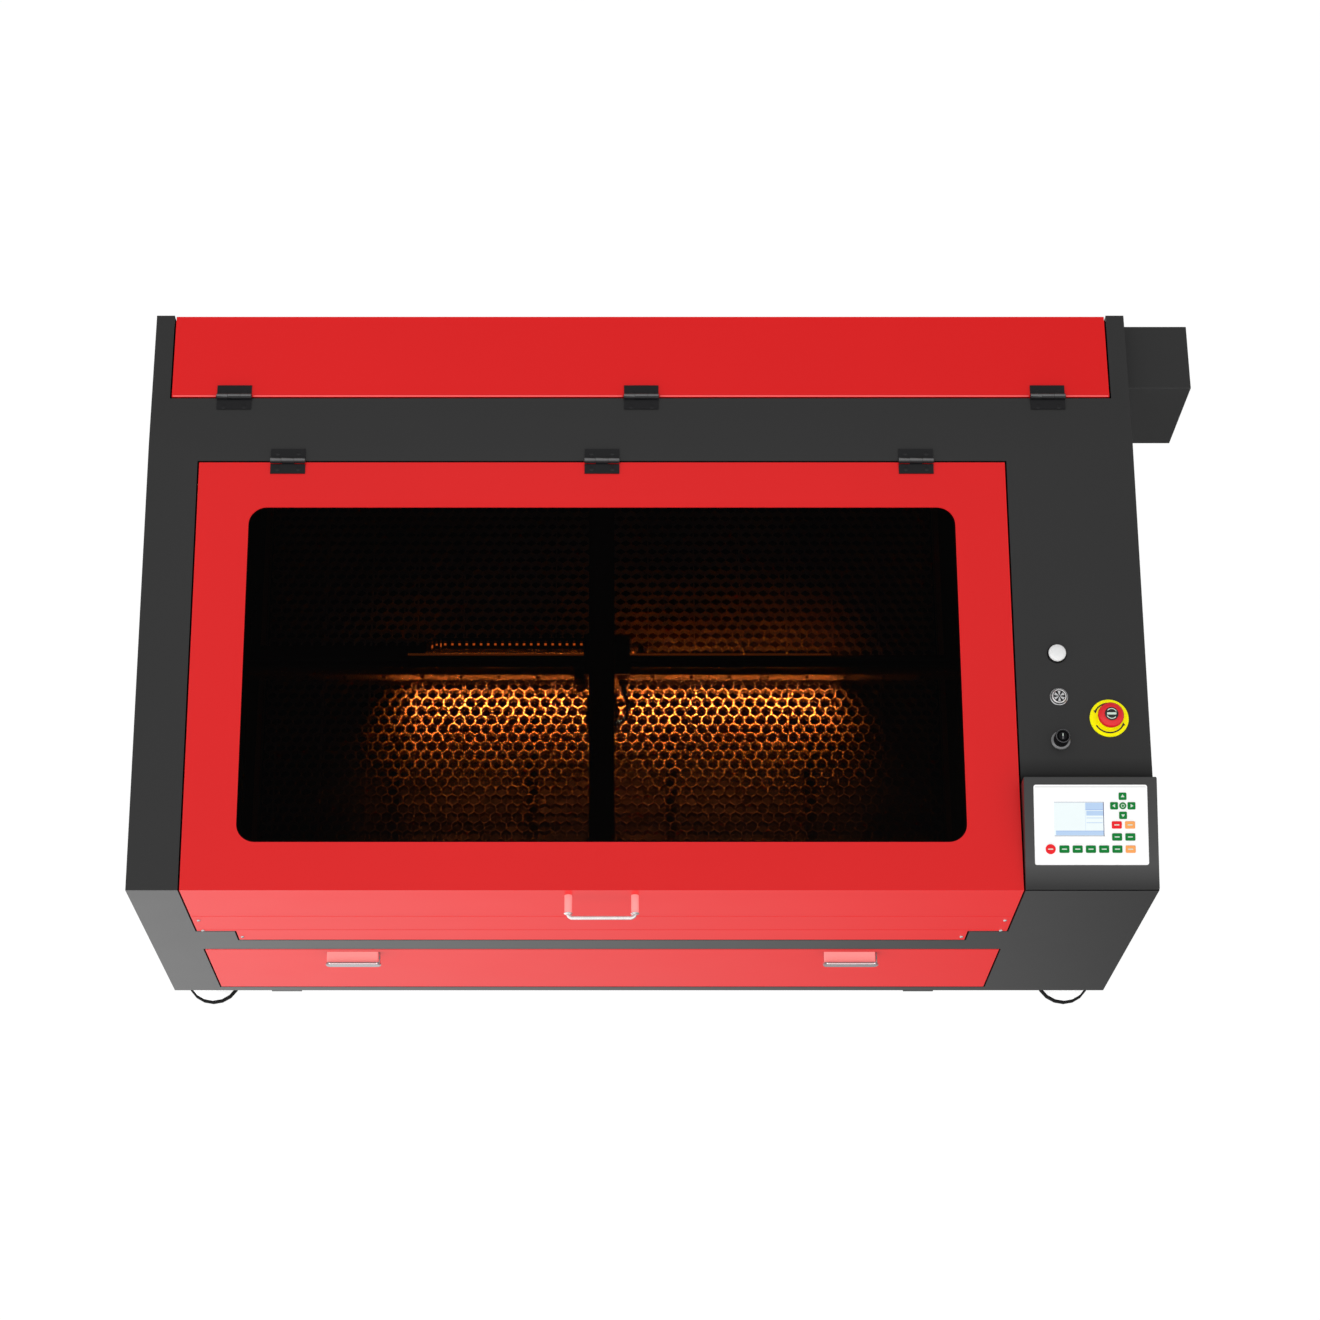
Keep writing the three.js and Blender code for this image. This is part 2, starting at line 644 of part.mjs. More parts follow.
// A pedestal with a split clamp ring round the tube.
function tubeMount(x) {
  const ring = rod("x", [x - 11, TUBE_Y, BEAM_LINE_Z], 22, TUBE_R + 6, TUBE_R + 6, 28);
  const base = box(x - 26, x + 26, TUBE_Y - 38, TUBE_Y + 38, SHELF_Z + SHEET + CLEAR, SHELF_Z + 12);
  const post = box(x - 9, x + 9, TUBE_Y - 26, TUBE_Y + 26, SHELF_Z + 8, BEAM_LINE_Z - TUBE_R);
  const bore = rod("x", [x - 30, TUBE_Y, BEAM_LINE_Z], 60, TUBE_R + 0.6, TUBE_R + 0.6, 28);
  return shape([ring, base, post], [bore]);
}

// A mirror holder: an upright on a foot, with the mirror plate turned 45 degrees to the beam.
function mirrorPlate(turn, size = 40) {
  const half = size / 2;
  const plate = box(-half, half, 3, 12, -half, half);
  const glass = rod("y", [0, 0, 0], 4, size * 0.35, size * 0.35, 24);
  return shape([plate, glass]).rotateZ(turn);
}

function firstMirror() {
  const x = MIRROR_X;
  const low = SHELF_Z + SHEET + CLEAR;
  return shape([
    mirrorPlate(Math.PI / 4).translate(x, TUBE_Y, BEAM_LINE_Z),
    box(x - 22, x - 4, TUBE_Y + 2, TUBE_Y + 22, low, BEAM_LINE_Z - 14),
    box(x - 30, x + 20, TUBE_Y - 22, TUBE_Y + 34, low, low + 8),
  ]);
}

// ---------------------------------------------------------------- motion system
const RAIL_Y = [40, 686];
const CHAIN = { w: 17.6, strand: 17, tall: 48, left: -309, fixed: LID_X + 50 };

// A profile along the chamber wall with the guide rail on top.
function sideRail(face, inward) {
  const wide = 24;
  const x0 = Math.min(face + inward * CLEAR, face + inward * wide);
  const x1 = Math.max(face + inward * CLEAR, face + inward * wide);
  const middle = (x0 + x1) / 2;
  return shape(
    [
      box(x0, x1, ...RAIL_Y, RAIL_TOP - 34, RAIL_TOP - 8),
      box(middle - 6, middle + 6, ...RAIL_Y, RAIL_TOP - 9, RAIL_TOP),
    ],
    [box(x0 + 6, x1 - 6, RAIL_Y[0] - 1, RAIL_Y[1] + 1, RAIL_TOP - 28, RAIL_TOP - 14)],
  );
}

// The stepper motor behind the right wall, its cross shaft and the two belt pulleys.
function crossDrive() {
  const { y, z, r } = DRIVE_SHAFT;
  const left = WALL_L + 26;
  const right = WALL_R - 26;
  const motorX = WALL_R + SHEET + 8;
  const half = 28;
  return shape([
    rod("x", [left, y, z], motorX - left + 4, r),
    rod("x", [left, y, z], 12, 12),
    rod("x", [right - 12, y, z], 12, 12),
    box(motorX, motorX + 76, y - half, y + half, z - half, z + half),
    rod("x", [motorX - 3, y, z], 4, 19),
  ]);
}

function gantryBeam() {
  const left = LID_X - 540;
  const right = LID_X + 569;
  const [y0, y1] = BEAM_Y;
  const middle = (y0 + y1) / 2;
  const z0 = GANTRY_BOTTOM;
  const z1 = GANTRY_TOP;
  const slot = 3;
  const profile = shape(
    [box(left, right, y0, y1, z0, z1)],
    [
      box(left - 1, right + 1, y0 + 4, y1 - 4, z0 + 4, z0 + 16),
      box(left - 1, right + 1, y0 + 4, y1 - 4, z0 + 34, z1 - 3),
      box(left - 1, right + 1, middle - slot, middle + slot, z0 - 1, z0 + 6),
      box(left - 1, right + 1, middle - slot, middle + slot, z1 - 5, z1 + 1),
    ],
  );
  const rail = box(left + 30, right - 30, y0 - GUIDE.thick, y0 + 1, z0 + GUIDE.z0, z0 + GUIDE.z1);
  const tray = box(CHAIN.fixed - 580, CHAIN.fixed + 10, y1 - 1, y1 + 34, z0 - 3, z0 - 1);
  const trayLip = box(CHAIN.fixed - 580, CHAIN.fixed + 10, y1 - 1, y1 + 1, z0 - 3, z0 + 4);
  const feet = [
    box(LID_X - 585, left + 30, GANTRY_Y - 45, GANTRY_Y + 55, RAIL_TOP + 0.6, z0 + 1),
    box(right - 1, LID_X + 585, GANTRY_Y - 45, GANTRY_Y + 55, RAIL_TOP + 0.6, z1 + 2),
  ];
  return shape([profile, rail, tray, trayLip, ...feet]);
}

// The second mirror stands ahead of the beam's left end, on an arm from the end plate.
function secondMirror() {
  const x = MIRROR_X;
  const armX = LID_X - 585;
  const front = GANTRY_Y - 45 - CLEAR;
  return shape([
    mirrorPlate(Math.PI * 0.75, 26).translate(x, HEAD_Y, BEAM_LINE_Z),
    box(armX, armX + 6, HEAD_Y - 22, front, GANTRY_BOTTOM, GANTRY_TOP - 10),
    box(armX, x - 4, HEAD_Y - 22, HEAD_Y - 6, GANTRY_BOTTOM, GANTRY_BOTTOM + 8),
    box(x - 16, x - 4, HEAD_Y - 22, HEAD_Y - 6, GANTRY_BOTTOM, BEAM_LINE_Z + 10),
  ]);
}


// The cable chain lies on its tray behind the beam, folded back over itself to the head.
function dragChain() {
  const { strand, tall, left, w, fixed } = CHAIN;
  const z0 = GANTRY_BOTTOM;
  const y0 = GANTRY_Y + 44 - w;
  const outerR = tall / 2;
  const bendX = left + outerR;
  const end = LID_X - 14;
  const path = new THREE.Shape();
  path.moveTo(fixed, z0);
  path.lineTo(bendX, z0);
  path.absarc(bendX, z0 + outerR, outerR, -Math.PI / 2, Math.PI / 2, true);
  path.lineTo(end, z0 + tall);
  path.lineTo(end, z0 + tall - strand);
  path.lineTo(bendX, z0 + tall - strand);
  path.absarc(bendX, z0 + outerR, outerR - strand, Math.PI / 2, -Math.PI / 2, false);
  path.lineTo(fixed, z0 + strand);
  const options = { depth: w, bevelEnabled: false, curveSegments: 10 };
  return new THREE.ExtrudeGeometry(path, options).rotateX(Math.PI / 2).translate(0, y0 + w, 0);
}

// ---------------------------------------------------------------- laser head
const LENS_R = 11;

function headCarriage() {
  const x0 = LID_X - 39;
  const x1 = LID_X + 39;
  const railFront = BEAM_Y[0] - GUIDE.thick;
  const z0 = GANTRY_BOTTOM + GUIDE.z0;
  const z1 = GANTRY_BOTTOM + GUIDE.z1;
  const block = box(x0, x1, railFront - 8, BEAM_Y[0] - 0.5, z0 - 9, z1 + 9);
  const groove = box(x0 - 1, x1 + 1, railFront - 0.6, BEAM_Y[0], z0 - 0.6, z1 + 0.6);
  const plate = box(LID_X - 26, LID_X + 40, railFront - 8, railFront - 4, z0 - 9, GANTRY_TOP + 9);
  const reach = box(LID_X - 26, LID_X + 40, railFront - 8, GANTRY_Y + 46, GANTRY_TOP + 6, GANTRY_TOP + 9);
  const arm = box(LID_X - 14, LID_X + 14, HEAD_Y + 21, railFront - 7, BEAM_LINE_Z - 8, BEAM_LINE_Z + 16);
  const mirrorBox = box(LID_X - 22, LID_X + 22, HEAD_Y - 22, HEAD_Y + 22, BEAM_LINE_Z - 19, BEAM_LINE_Z + 21);
  const beamHole = rod("x", [LID_X - 30, HEAD_Y, BEAM_LINE_Z], 30, 6, 6, 16);
  const bore = rod("z", [LID_X, HEAD_Y, BEAM_LINE_Z - 30], 34, LENS_R + 0.4);
  const corner = [
    [LID_X + 3, BEAM_LINE_Z + 22],
    [LID_X + 23, BEAM_LINE_Z + 22],
    [LID_X + 23, BEAM_LINE_Z + 2],
  ];
  const chamfer = alongY(corner, HEAD_Y - 23, HEAD_Y + 21);
  const mirror = rod("z", [0, 0, -3], 9, 12).rotateY(Math.PI / 4).translate(LID_X + 13, HEAD_Y, BEAM_LINE_Z + 12);
  return shape([shape([block, plate, reach, arm, mirrorBox], [groove, beamHole, bore, chamfer]), mirror]);
}

// The lens tube slides in the mirror box and ends in the air nozzle.
function lensTube() {
  const tip = BED_TOP + 12;
  return turned([
    [0, tip],
    [3, tip],
    [9, tip + 11],
    [14, tip + 12],
    [14, tip + 16],
    [LENS_R, tip + 17],
    [LENS_R, BEAM_LINE_Z - 8],
    [0, BEAM_LINE_Z - 8],
  ]).translate(LID_X, HEAD_Y, 0);
}

// ---------------------------------------------------------------- bed and lift
function bedFrame() {
  const { x0, x1, y0, y1, thick } = BED;
  const rim = 10;
  const deep = 26;
  const z1 = BED_TOP - thick - CLEAR;
  const z0 = z1 - deep;
  const wide = 36;
  const bars = [1, 2, 3, 4].map((i) => {
    const x = x0 + ((x1 - x0) * i) / 5;
    return box(x - 8, x + 8, y0, y1, z0, z1);
  });
  const ears = SCREW_XS.flatMap((x) => SCREW_YS.map((y) => box(
    Math.min(x, LID_X + Math.sign(x - LID_X) * 505) - 18,
    Math.max(x, LID_X + Math.sign(x - LID_X) * 505) + 18,
    y - 20, y + 20, z0, z0 + 12,
  )));
  const holes = SCREW_XS.flatMap((x) => SCREW_YS.map((y) => rod("z", [x, y, z0 - 5], 30, SCREW_R + 1)));
  const ring = shape(
    [box(x0 - rim, x1 + rim, y0 - rim, y1 + rim, z0, z1)],
    [box(x0 - rim + wide, x1 + rim - wide, y0 - rim + wide, y1 + rim - wide, z0 - 1, z1 + 1)],
  );
  return shape([ring, ...bars, ...ears], holes);
}

function honeycombBed() {
  const { x0, x1, y0, y1, thick } = BED;
  return box(x0, x1, y0, y1, BED_TOP - thick, BED_TOP);
}

const SCREW_R = 8;

// Four lift screws with their pulleys, joined by the belt that turns them together.
function liftDrive() {
  const z = FLOOR_TOP + CLEAR;
  const beltZ = z + 12;
  const reach = 18;
  const [xa, xb] = SCREW_XS;
  const [ya, yb] = SCREW_YS;
  const belt = (grow) => roundedPlate(xa - grow, xb + grow, ya - grow, yb + grow, beltZ, beltZ + 8, grow);
  const loop = shape([belt(reach + 2)], [belt(reach - 1).scale(1, 1, 3).translate(0, 0, -2 * beltZ - 4)]);
  const screws = SCREW_XS.flatMap((x) => SCREW_YS.flatMap((y) => [
    rod("z", [x, y, z], BED_TOP - 8 - z, SCREW_R, SCREW_R, 16),
    rod("z", [x, y, z + 10], 12, reach, reach, 24),
  ]));
  return shape([loop, ...screws]);
}

// ---------------------------------------------------------------- exhaust
function fanHousing() {
  const { x, z, r } = FAN;
  const y0 = BULKHEAD_Y + SHEET + CLEAR;
  const yWall = BODY_D - SHEET - CLEAR;
  const shell = [
    rod("y", [x, y0, z], yWall - y0, r + 12, r + 12, 40),
    rod("y", [x, yWall - 2, z], BODY_D + COLLAR_OUT - yWall + 2, r + 3, r + 3, 40),
  ];
  const bore = rod("y", [x, y0 - 5, z], 300, r, r, 40);
  const motor = rod("y", [x, y0 + 62, z], 46, 24);
  const arms = [0, 1, 2].map((i) =>
    box(-4, 4, y0 + 80, y0 + 92, 18, r + 6).rotateY((i * Math.PI * 2) / 3).translate(x, 0, z),
  );
  return shape([shape(shell, [bore]), motor, ...arms]);
}

// Seven pitched blades on a hub.
function fanImpeller() {
  const { x, z, r } = FAN;
  const y0 = BULKHEAD_Y + 24;
  const blades = [0, 1, 2, 3, 4, 5, 6].map((i) =>
    box(-1.5, 1.5, -15, 15, 14, r - 4)
      .rotateZ(0.6)
      .rotateY((i * Math.PI * 2) / 7)
      .translate(x, y0 + 16, z),
  );
  return shape([rod("y", [x, y0, z], 32, 22), ...blades]);
}

// ---------------------------------------------------------------- electronics bay
const INLET = { x: 610, z: 170 };

function powerInlet() {
  const { x, z } = INLET;
  return shape(
    [
      box(x - 24, x + 24, BODY_D - 30, BODY_D + 1, z - 14, z + 14),
      box(x - 32, x + 32, BODY_D + CLEAR, BODY_D + 3, z - 18, z + 18),
    ],
    [box(x - 19, x + 19, BODY_D - 22, BODY_D + 8, z - 9, z + 9)],
  );
}

// A vented case on two mounting feet.
function electronicsCase(x0, x1, y0, y1, z0, z1) {
  const slots = [];
  for (let y = y0 + 25; y < y1 - 25; y += 14) {
    slots.push(box(x0 - 1, x0 + 3, y, y + 5, z0 + 20, z1 - 20));
  }
  const feet = [
    box(x0 + 8, x0 + 40, y0 - 14, y1 + 14, z0, z0 + 3),
    box(x1 - 40, x1 - 8, y0 - 14, y1 + 14, z0, z0 + 3),
  ];
  return shape([box(x0, x1, y0, y1, z0, z1), ...feet], slots);
}

// ---------------------------------------------------------------- controls
function toControl(geometry, { x, s }) {
  return onSlope(geometry.translate(x, s, 0));
}

function estopBase() {
  const ring = turned([
    [0, -34],
    [10.5, -34],
    [10.5, CLEAR],
    [28, CLEAR],
    [28, 2.6],
    [27, 3.2],
    [15, 3.2],
    [14, 4],
    [0, 4],
  ], 32);
  const bore = rod("z", [0, 0, -8], 30, 6.5);
  return toControl(shape([ring], [bore]), CONTROLS.estop);
}

function estopButton() {
  return toControl(turned([
    [0, 0],
    [6, 0],
    [6, 9.5],
    [14, 9.5],
    [18, 13],
    [18.2, 17],
    [16, 21],
    [10, 23.4],
    [0, 24],
  ], 32), CONTROLS.estop);
}

function pushCap(place, capR, top) {
  return toControl(turned([
    [0, -20],
    [8, -20],
    [8, 3.2],
    [capR, 3.2],
    [capR, top - 2.2],
    [capR - 2.5, top - 0.5],
    [0, top],
  ]), place);
}

function keySwitchBody() {
  const barrel = turned([
    [0, -32],
    [11, -32],
    [11, CLEAR],
    [13.5, CLEAR],
    [13.5, 3],
    [12, 4.5],
    [10.5, 5],
    [10.5, 23],
    [9.8, 24],
    [0, 24],
  ]);
  return toControl(shape([barrel], [rod("z", [0, 0, 14], 20, 7.3)]), CONTROLS.key);
}

// The turning core with its key slot.
function keyCore() {
  const core = rod("z", [0, 0, 14.4], 10.4, 7);
  return toControl(shape([core], [box(-1, 1, -4.5, 4.5, 19, 30)]), CONTROLS.key);
}

// ---------------------------------------------------------------- lid struts
// The strut's line when the lid is shut, from its stud on the wall to its place on the lid.
function strutLine() {
  const end = slopePoint(STRUT_LID.s, STRUT_LID.h);
  const dy = end.y - STRUT_BASE.y;
  const dz = end.z - STRUT_BASE.z;
  return { length: Math.hypot(dy, dz), angle: Math.atan2(dz, dy) };
}

// Turns a geometry drawn along +Y from the origin into the strut's place on one side.
function alongStrut(geometry, side) {
  const { angle } = strutLine();
  return geometry.rotateX(angle).translate(LID_X + side * STRUT_SIDE, STRUT_BASE.y, STRUT_BASE.z);
}

function strutCylinder(side) {
  const length = 142;
  const pieces = [rod("x", [-STRUT_EYE, 0, 0], 2 * STRUT_EYE, 8, 8, 20), rod("y", [0, 6, 0], length - 6, STRUT_R, STRUT_R, 20)];
  const bore = rod("y", [0, 14, 0], length, 4.6, 4.6, 16);
  return alongStrut(shape(pieces, [bore]), side);
}

function strutRod(side) {
  const { length } = strutLine();
  const pieces = [rod("x", [-STRUT_EYE, length, 0], 2 * STRUT_EYE, 7.5, 7.5, 20), rod("y", [0, 17, 0], length - 17, 4, 4, 16)];
  return alongStrut(shape(pieces), side);
}

// ---------------------------------------------------------------- assembly
const cabinet = new THREE.Group();
cabinet.add(
  mesh("base_pan", basePan(), DARK),
  mesh("front_frame", frontFrame(), DARK),
  mesh("side_panel_left", sidePanel(-HALF_W, -HALF_W + SHEET), DARK),
  mesh(
    "side_panel_right",
    sidePanel(HALF_W, HALF_W - SHEET, [
      rod("x", [HALF_W - 10, TUBE_Y, BEAM_LINE_Z], 20, TUBE_R + 4.5, TUBE_R + 4.5, 32),
    ]),
    DARK,
  ),
  mesh("top_deck", topDeck(), DARK),
  mesh("rear_panel", rearPanel(), DARK),
  mesh("tube_bulkhead", tubeBulkhead(), DARK),
  mesh("chamber_wall_left", chamberWall(WALL_L, -1), GALVANISED),
  mesh(
    "chamber_wall_right",
    chamberWall(WALL_R, 1, [rod("x", [WALL_R - 5, DRIVE_SHAFT.y, DRIVE_SHAFT.z], 12, DRIVE_SHAFT.r + 3)]),
    GALVANISED,
  ),
  mesh("tube_extension_box", extensionBox(), DARK),
  mesh("console_housing", consoleHousing(), DARK),
  mesh("control_panel", controlPanel(), WHITE),
);

for (const [side, x] of [["left", -1], ["right", 1]]) {
  for (const [end, y] of [["front", 47], ["rear", BODY_D - 47]]) {
    const made = mesh(`foot_${end}_${side}`, foot(), CHROME);
    made.position.set(x * (HALF_W - 47), y, 0);
    cabinet.add(made);
  }
}

["left", "centre", "right"].forEach((place, i) => {
  cabinet.add(mesh(`lid_hinge_${place}`, toLidAxis(hingeFixed(LID_HINGE_XS[i], 1)), BLACK));
  cabinet.add(mesh(`cover_hinge_${place}`, toCoverAxis(hingeFixed(COVER_HINGE_XS[i], -1)), BLACK));
});

const lid = new THREE.Group();
lid.add(
  mesh("lid_frame", lidFrame(), RED),
  mesh("lid_window", windowPane(), SMOKED),
  mesh("window_bar", windowBar(), BLACK),
  mesh("lid_handle", lidHandle(), CHROME),
);

const doors = new THREE.Group();
doors.add(
  mesh("rear_cover", rearCover(), RED),
  mesh("front_flap", frontFlap(), RED),
  mesh("flap_pull_left", flapPull(LID_X - 364), CHROME),
  mesh("flap_pull_right", flapPull(LID_X + 364), CHROME),
);

const laser = new THREE.Group();
laser.add(
  mesh("laser_tube", laserTube(), GLASS),
  mesh("tube_mount_left", tubeMount(-380), ALUMINIUM),
  mesh("tube_mount_right", tubeMount(480), ALUMINIUM),
  mesh("first_mirror", firstMirror(), ALUMINIUM),
);

const motion = new THREE.Group();
motion.add(
  mesh("side_rail_left", sideRail(WALL_L, 1), ALUMINIUM),
  mesh("side_rail_right", sideRail(WALL_R, -1), ALUMINIUM),
  mesh("cross_drive", crossDrive(), STEEL),
  mesh("gantry_beam", gantryBeam(), ALUMINIUM),
  mesh("second_mirror", secondMirror(), ALUMINIUM),
  mesh("drag_chain", dragChain(), BLACK),
  mesh("head_carriage", headCarriage(), BLACK),
  mesh("lens_tube", lensTube(), ALUMINIUM),
  mesh("bed_frame", bedFrame(), ALUMINIUM),
  mesh("honeycomb_bed", honeycombBed(), ALUMINIUM),
  mesh("lift_drive", liftDrive(), STEEL),
);
for (const [side, sign] of [["left", -1], ["right", 1]]) {
  motion.add(mesh(`strut_cylinder_${side}`, strutCylinder(sign), BLACK));
  motion.add(mesh(`strut_rod_${side}`, strutRod(sign), STEEL));
}

const services = new THREE.Group();
services.add(
  mesh("fan_housing", fanHousing(), GALVANISED),
  mesh("fan_impeller", fanImpeller(), BLACK),
  mesh("power_inlet", powerInlet(), BLACK),
  mesh("laser_power_supply", electronicsCase(545, 690, 300, 560, FLOOR_TOP + CLEAR, 250), GALVANISED),
  mesh("motion_controller", electronicsCase(560, 690, 90, 250, FLOOR_TOP + CLEAR, 190), BLACK),
);

const controls = new THREE.Group();
controls.add(
  mesh("estop_base", estopBase(), YELLOW),
  mesh("estop_button", estopButton(), RED),
  mesh("light_button", pushCap(CONTROLS.light, 12.4, 9), WHITE),
  mesh("laser_button", pushCap(CONTROLS.laser, 10.6, 6.5), STEEL),
  mesh("key_switch", keySwitchBody(), BLACK),
  mesh("key_core", keyCore(), STEEL),
);

const group = new THREE.Group();
group.add(cabinet, lid, doors, laser, motion, services, controls);
// The box runs from the left side to the extension box, and from the lid handle to the exhaust collar.
group.position.set(-EXT_REACH / 2, -(BODY_D + COLLAR_OUT - HANDLE_REACH) / 2, 0);

export default group;
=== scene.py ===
# The laser engraver's looks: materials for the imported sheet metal, and the detail that stands on it.
# Metres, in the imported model's frame: X right, Y back, Z up, on the floor at z = 0.
import math

import bmesh
import bpy
import numpy as np
from mathutils import Matrix, Vector


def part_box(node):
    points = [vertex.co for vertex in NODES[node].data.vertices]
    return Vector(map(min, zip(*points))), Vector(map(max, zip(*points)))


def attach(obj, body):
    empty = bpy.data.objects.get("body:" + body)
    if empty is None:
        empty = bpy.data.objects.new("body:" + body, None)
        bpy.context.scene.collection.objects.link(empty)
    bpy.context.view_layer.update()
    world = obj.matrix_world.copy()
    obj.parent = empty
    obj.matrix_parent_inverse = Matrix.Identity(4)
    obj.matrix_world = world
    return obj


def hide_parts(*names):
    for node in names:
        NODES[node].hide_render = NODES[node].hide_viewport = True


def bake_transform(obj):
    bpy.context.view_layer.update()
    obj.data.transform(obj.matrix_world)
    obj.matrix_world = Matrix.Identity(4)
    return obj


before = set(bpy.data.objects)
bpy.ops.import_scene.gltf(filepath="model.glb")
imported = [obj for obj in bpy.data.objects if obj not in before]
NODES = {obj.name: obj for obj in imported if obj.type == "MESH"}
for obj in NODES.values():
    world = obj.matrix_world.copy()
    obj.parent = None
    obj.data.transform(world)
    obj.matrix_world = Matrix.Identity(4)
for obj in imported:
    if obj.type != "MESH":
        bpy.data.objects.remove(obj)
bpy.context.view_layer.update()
MM = 0.001


# --- places, from the frame
def middle(node):
    low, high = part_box(node)
    return (low + high) / 2


FRONT_LOW, FRONT_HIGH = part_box("front_frame")
LID_LOW, LID_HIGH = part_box("lid_frame")
FLAP_LOW, FLAP_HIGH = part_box("front_flap")
COVER_LOW, COVER_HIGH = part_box("rear_cover")
BED_LOW, BED_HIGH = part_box("honeycomb_bed")
BEAM_LOW, BEAM_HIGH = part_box("gantry_beam")
CONSOLE_LOW, CONSOLE_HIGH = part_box("console_housing")
FRONT_Y = FRONT_LOW.y
BODY_LEFT = FRONT_LOW.x
BODY_RIGHT = FRONT_HIGH.x
LID_X = middle("lid_frame").x
TOUCH = 0.3 * MM
EDGE_Z = CONSOLE_LOW.z - TOUCH  # the front top edge
REAR_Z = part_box("top_deck")[1].z
BEND_DEPTH = 0.661  # from the front edge back to where the slope meets the flat rear
SLOPE = math.atan2(REAR_Z - EDGE_Z, BEND_DEPTH)
DECK = Matrix.Translation((0, FRONT_Y, EDGE_Z)) @ Matrix.Rotation(SLOPE, 4, "X")
PANEL_TILT = math.atan2(CONSOLE_HIGH.z - EDGE_Z - 4 * MM, CONSOLE_HIGH.y - FRONT_Y)
PANEL = Matrix.Translation((0, FRONT_Y, EDGE_Z + 4 * MM)) @ Matrix.Rotation(PANEL_TILT, 4, "X")


# --- node helpers
class Nodes:
    """The node tree of a new material or world, with short ways to add and join nodes."""

    def __init__(self, name, world=False):
        self.owner = (bpy.data.worlds if world else bpy.data.materials).new(name)
        self.owner.use_nodes = True
        self.tree = self.owner.node_tree
        self.tree.nodes.clear()
        self.out = self.add("OutputWorld" if world else "OutputMaterial")

    def add(self, kind, values=None, **settings):
        node = self.tree.nodes.new("ShaderNode" + kind)
        for key, value in settings.items():
            setattr(node, key, value)
        for key, value in (values or {}).items():
            node.inputs[key].default_value = value
        return node

    def join(self, a, b):
        self.tree.links.new(a, b)

    def place(self, scale=(1, 1, 1)):
        where = self.add("TexCoord")
        turn = self.add("Mapping", {"Scale": scale})
        self.join(where.outputs["Object"], turn.inputs["Vector"])
        return turn.outputs["Vector"]

    def noise(self, scale, detail=3.0, rough=0.5, stretch=(1, 1, 1)):
        texture = self.add("TexNoise", {"Scale": scale, "Detail": detail, "Roughness": rough})
        self.join(self.place(stretch), texture.inputs["Vector"])
        return texture.outputs["Fac"]

    def ramp(self, source, stops):
        node = self.add("ValToRGB")
        elements = node.color_ramp.elements
        while len(elements) < len(stops):
            elements.new(0.5)
        for element, (place, colour) in zip(elements, stops):
            element.position = place
            element.color = colour if len(colour) == 4 else (*colour, 1)
        self.join(source, node.inputs["Fac"])
        return node.outputs["Color"]

    def span(self, source, low, high, to_low, to_high, shape="LINEAR"):
        """Carries low..high over to to_low..to_high, and stays level outside them."""
        ends = {"From Min": low, "From Max": high, "To Min": to_low, "To Max": to_high}
        node = self.add("MapRange", ends, interpolation_type=shape)
        self.join(source, node.inputs["Value"])
        return node.outputs["Result"]

    def maths(self, kind, a, b):
        """Joins two values, each a socket or a plain number."""
        node = self.add("Math", operation=kind)
        for socket, value in zip(node.inputs, (a, b)):
            if isinstance(value, float):
                socket.default_value = value
            else:
                self.join(value, socket)
        return node.outputs["Value"]

    def split(self, vector):
        parts = self.add("SeparateXYZ")
        self.join(vector, parts.inputs["Vector"])
        return parts.outputs["X"], parts.outputs["Y"], parts.outputs["Z"]

    def bump(self, height, strength, distance):
        node = self.add("Bump", {"Strength": strength, "Distance": distance})
        self.join(height, node.inputs["Height"])
        return node.outputs["Normal"]

    def position(self):
        """World x, y and z of the point being shaded."""
        return self.split(self.add("NewGeometry").outputs["Position"])

    def dim(self, shader, tone):
        """Scales a coat's colour and gloss by tone, to paint shade and light into it."""
        base = self.add("VectorMath", operation="SCALE")
        self.join(shader.inputs["Base Color"].links[0].from_socket, base.inputs["Vector"])
        self.join(tone, base.inputs["Scale"])
        self.join(base.outputs["Vector"], shader.inputs["Base Color"])
        for key in ("Specular IOR Level", "Coat Weight"):
            full = shader.inputs[key].default_value
            self.join(self.maths("MULTIPLY", tone, full), shader.inputs[key])

    def principled(self, **values):
        node = self.add("BsdfPrincipled", {k.replace("_", " "): v for k, v in values.items()})
        self.join(node.outputs["BSDF"], self.out.inputs["Surface"])
        return node


def rgb(r, g, b):
    return (r, g, b, 1.0)


def greys(*stops):
    return [(place, (tone, tone, tone)) for place, tone in stops]


def console_shadow_on_deck(n):
    """The deck's tone: full, but with a painted shadow in the corner where the console's back stands on it.
    """
    x, y, _ = n.position()
    reach = n.span(y, CONSOLE_HIGH.y, CONSOLE_HIGH.y + 38 * MM, 0.0, 1.0)
    corner = n.ramp(reach, greys((0.0, 0.0), (0.2, 0.25), (0.45, 0.66), (1.0, 1.0)))
    return n.maths("MAXIMUM", corner, n.span(x, LID_HIGH.x - 4 * MM, LID_HIGH.x, 1.0, 0.0))


def console_painted_shading(n):
    """The wedge's tone: painted shade at its front fold, painted light brightest below the keypad, then
    level.
    """
    depth = n.span(n.position()[1], CONSOLE_LOW.y, CONSOLE_HIGH.y, 0.0, 1.0)
    return n.ramp(depth, greys((0.0, 0.46), (0.10, 0.74), (0.22, 1.0), (0.8, 0.80), (1.0, 0.76)))


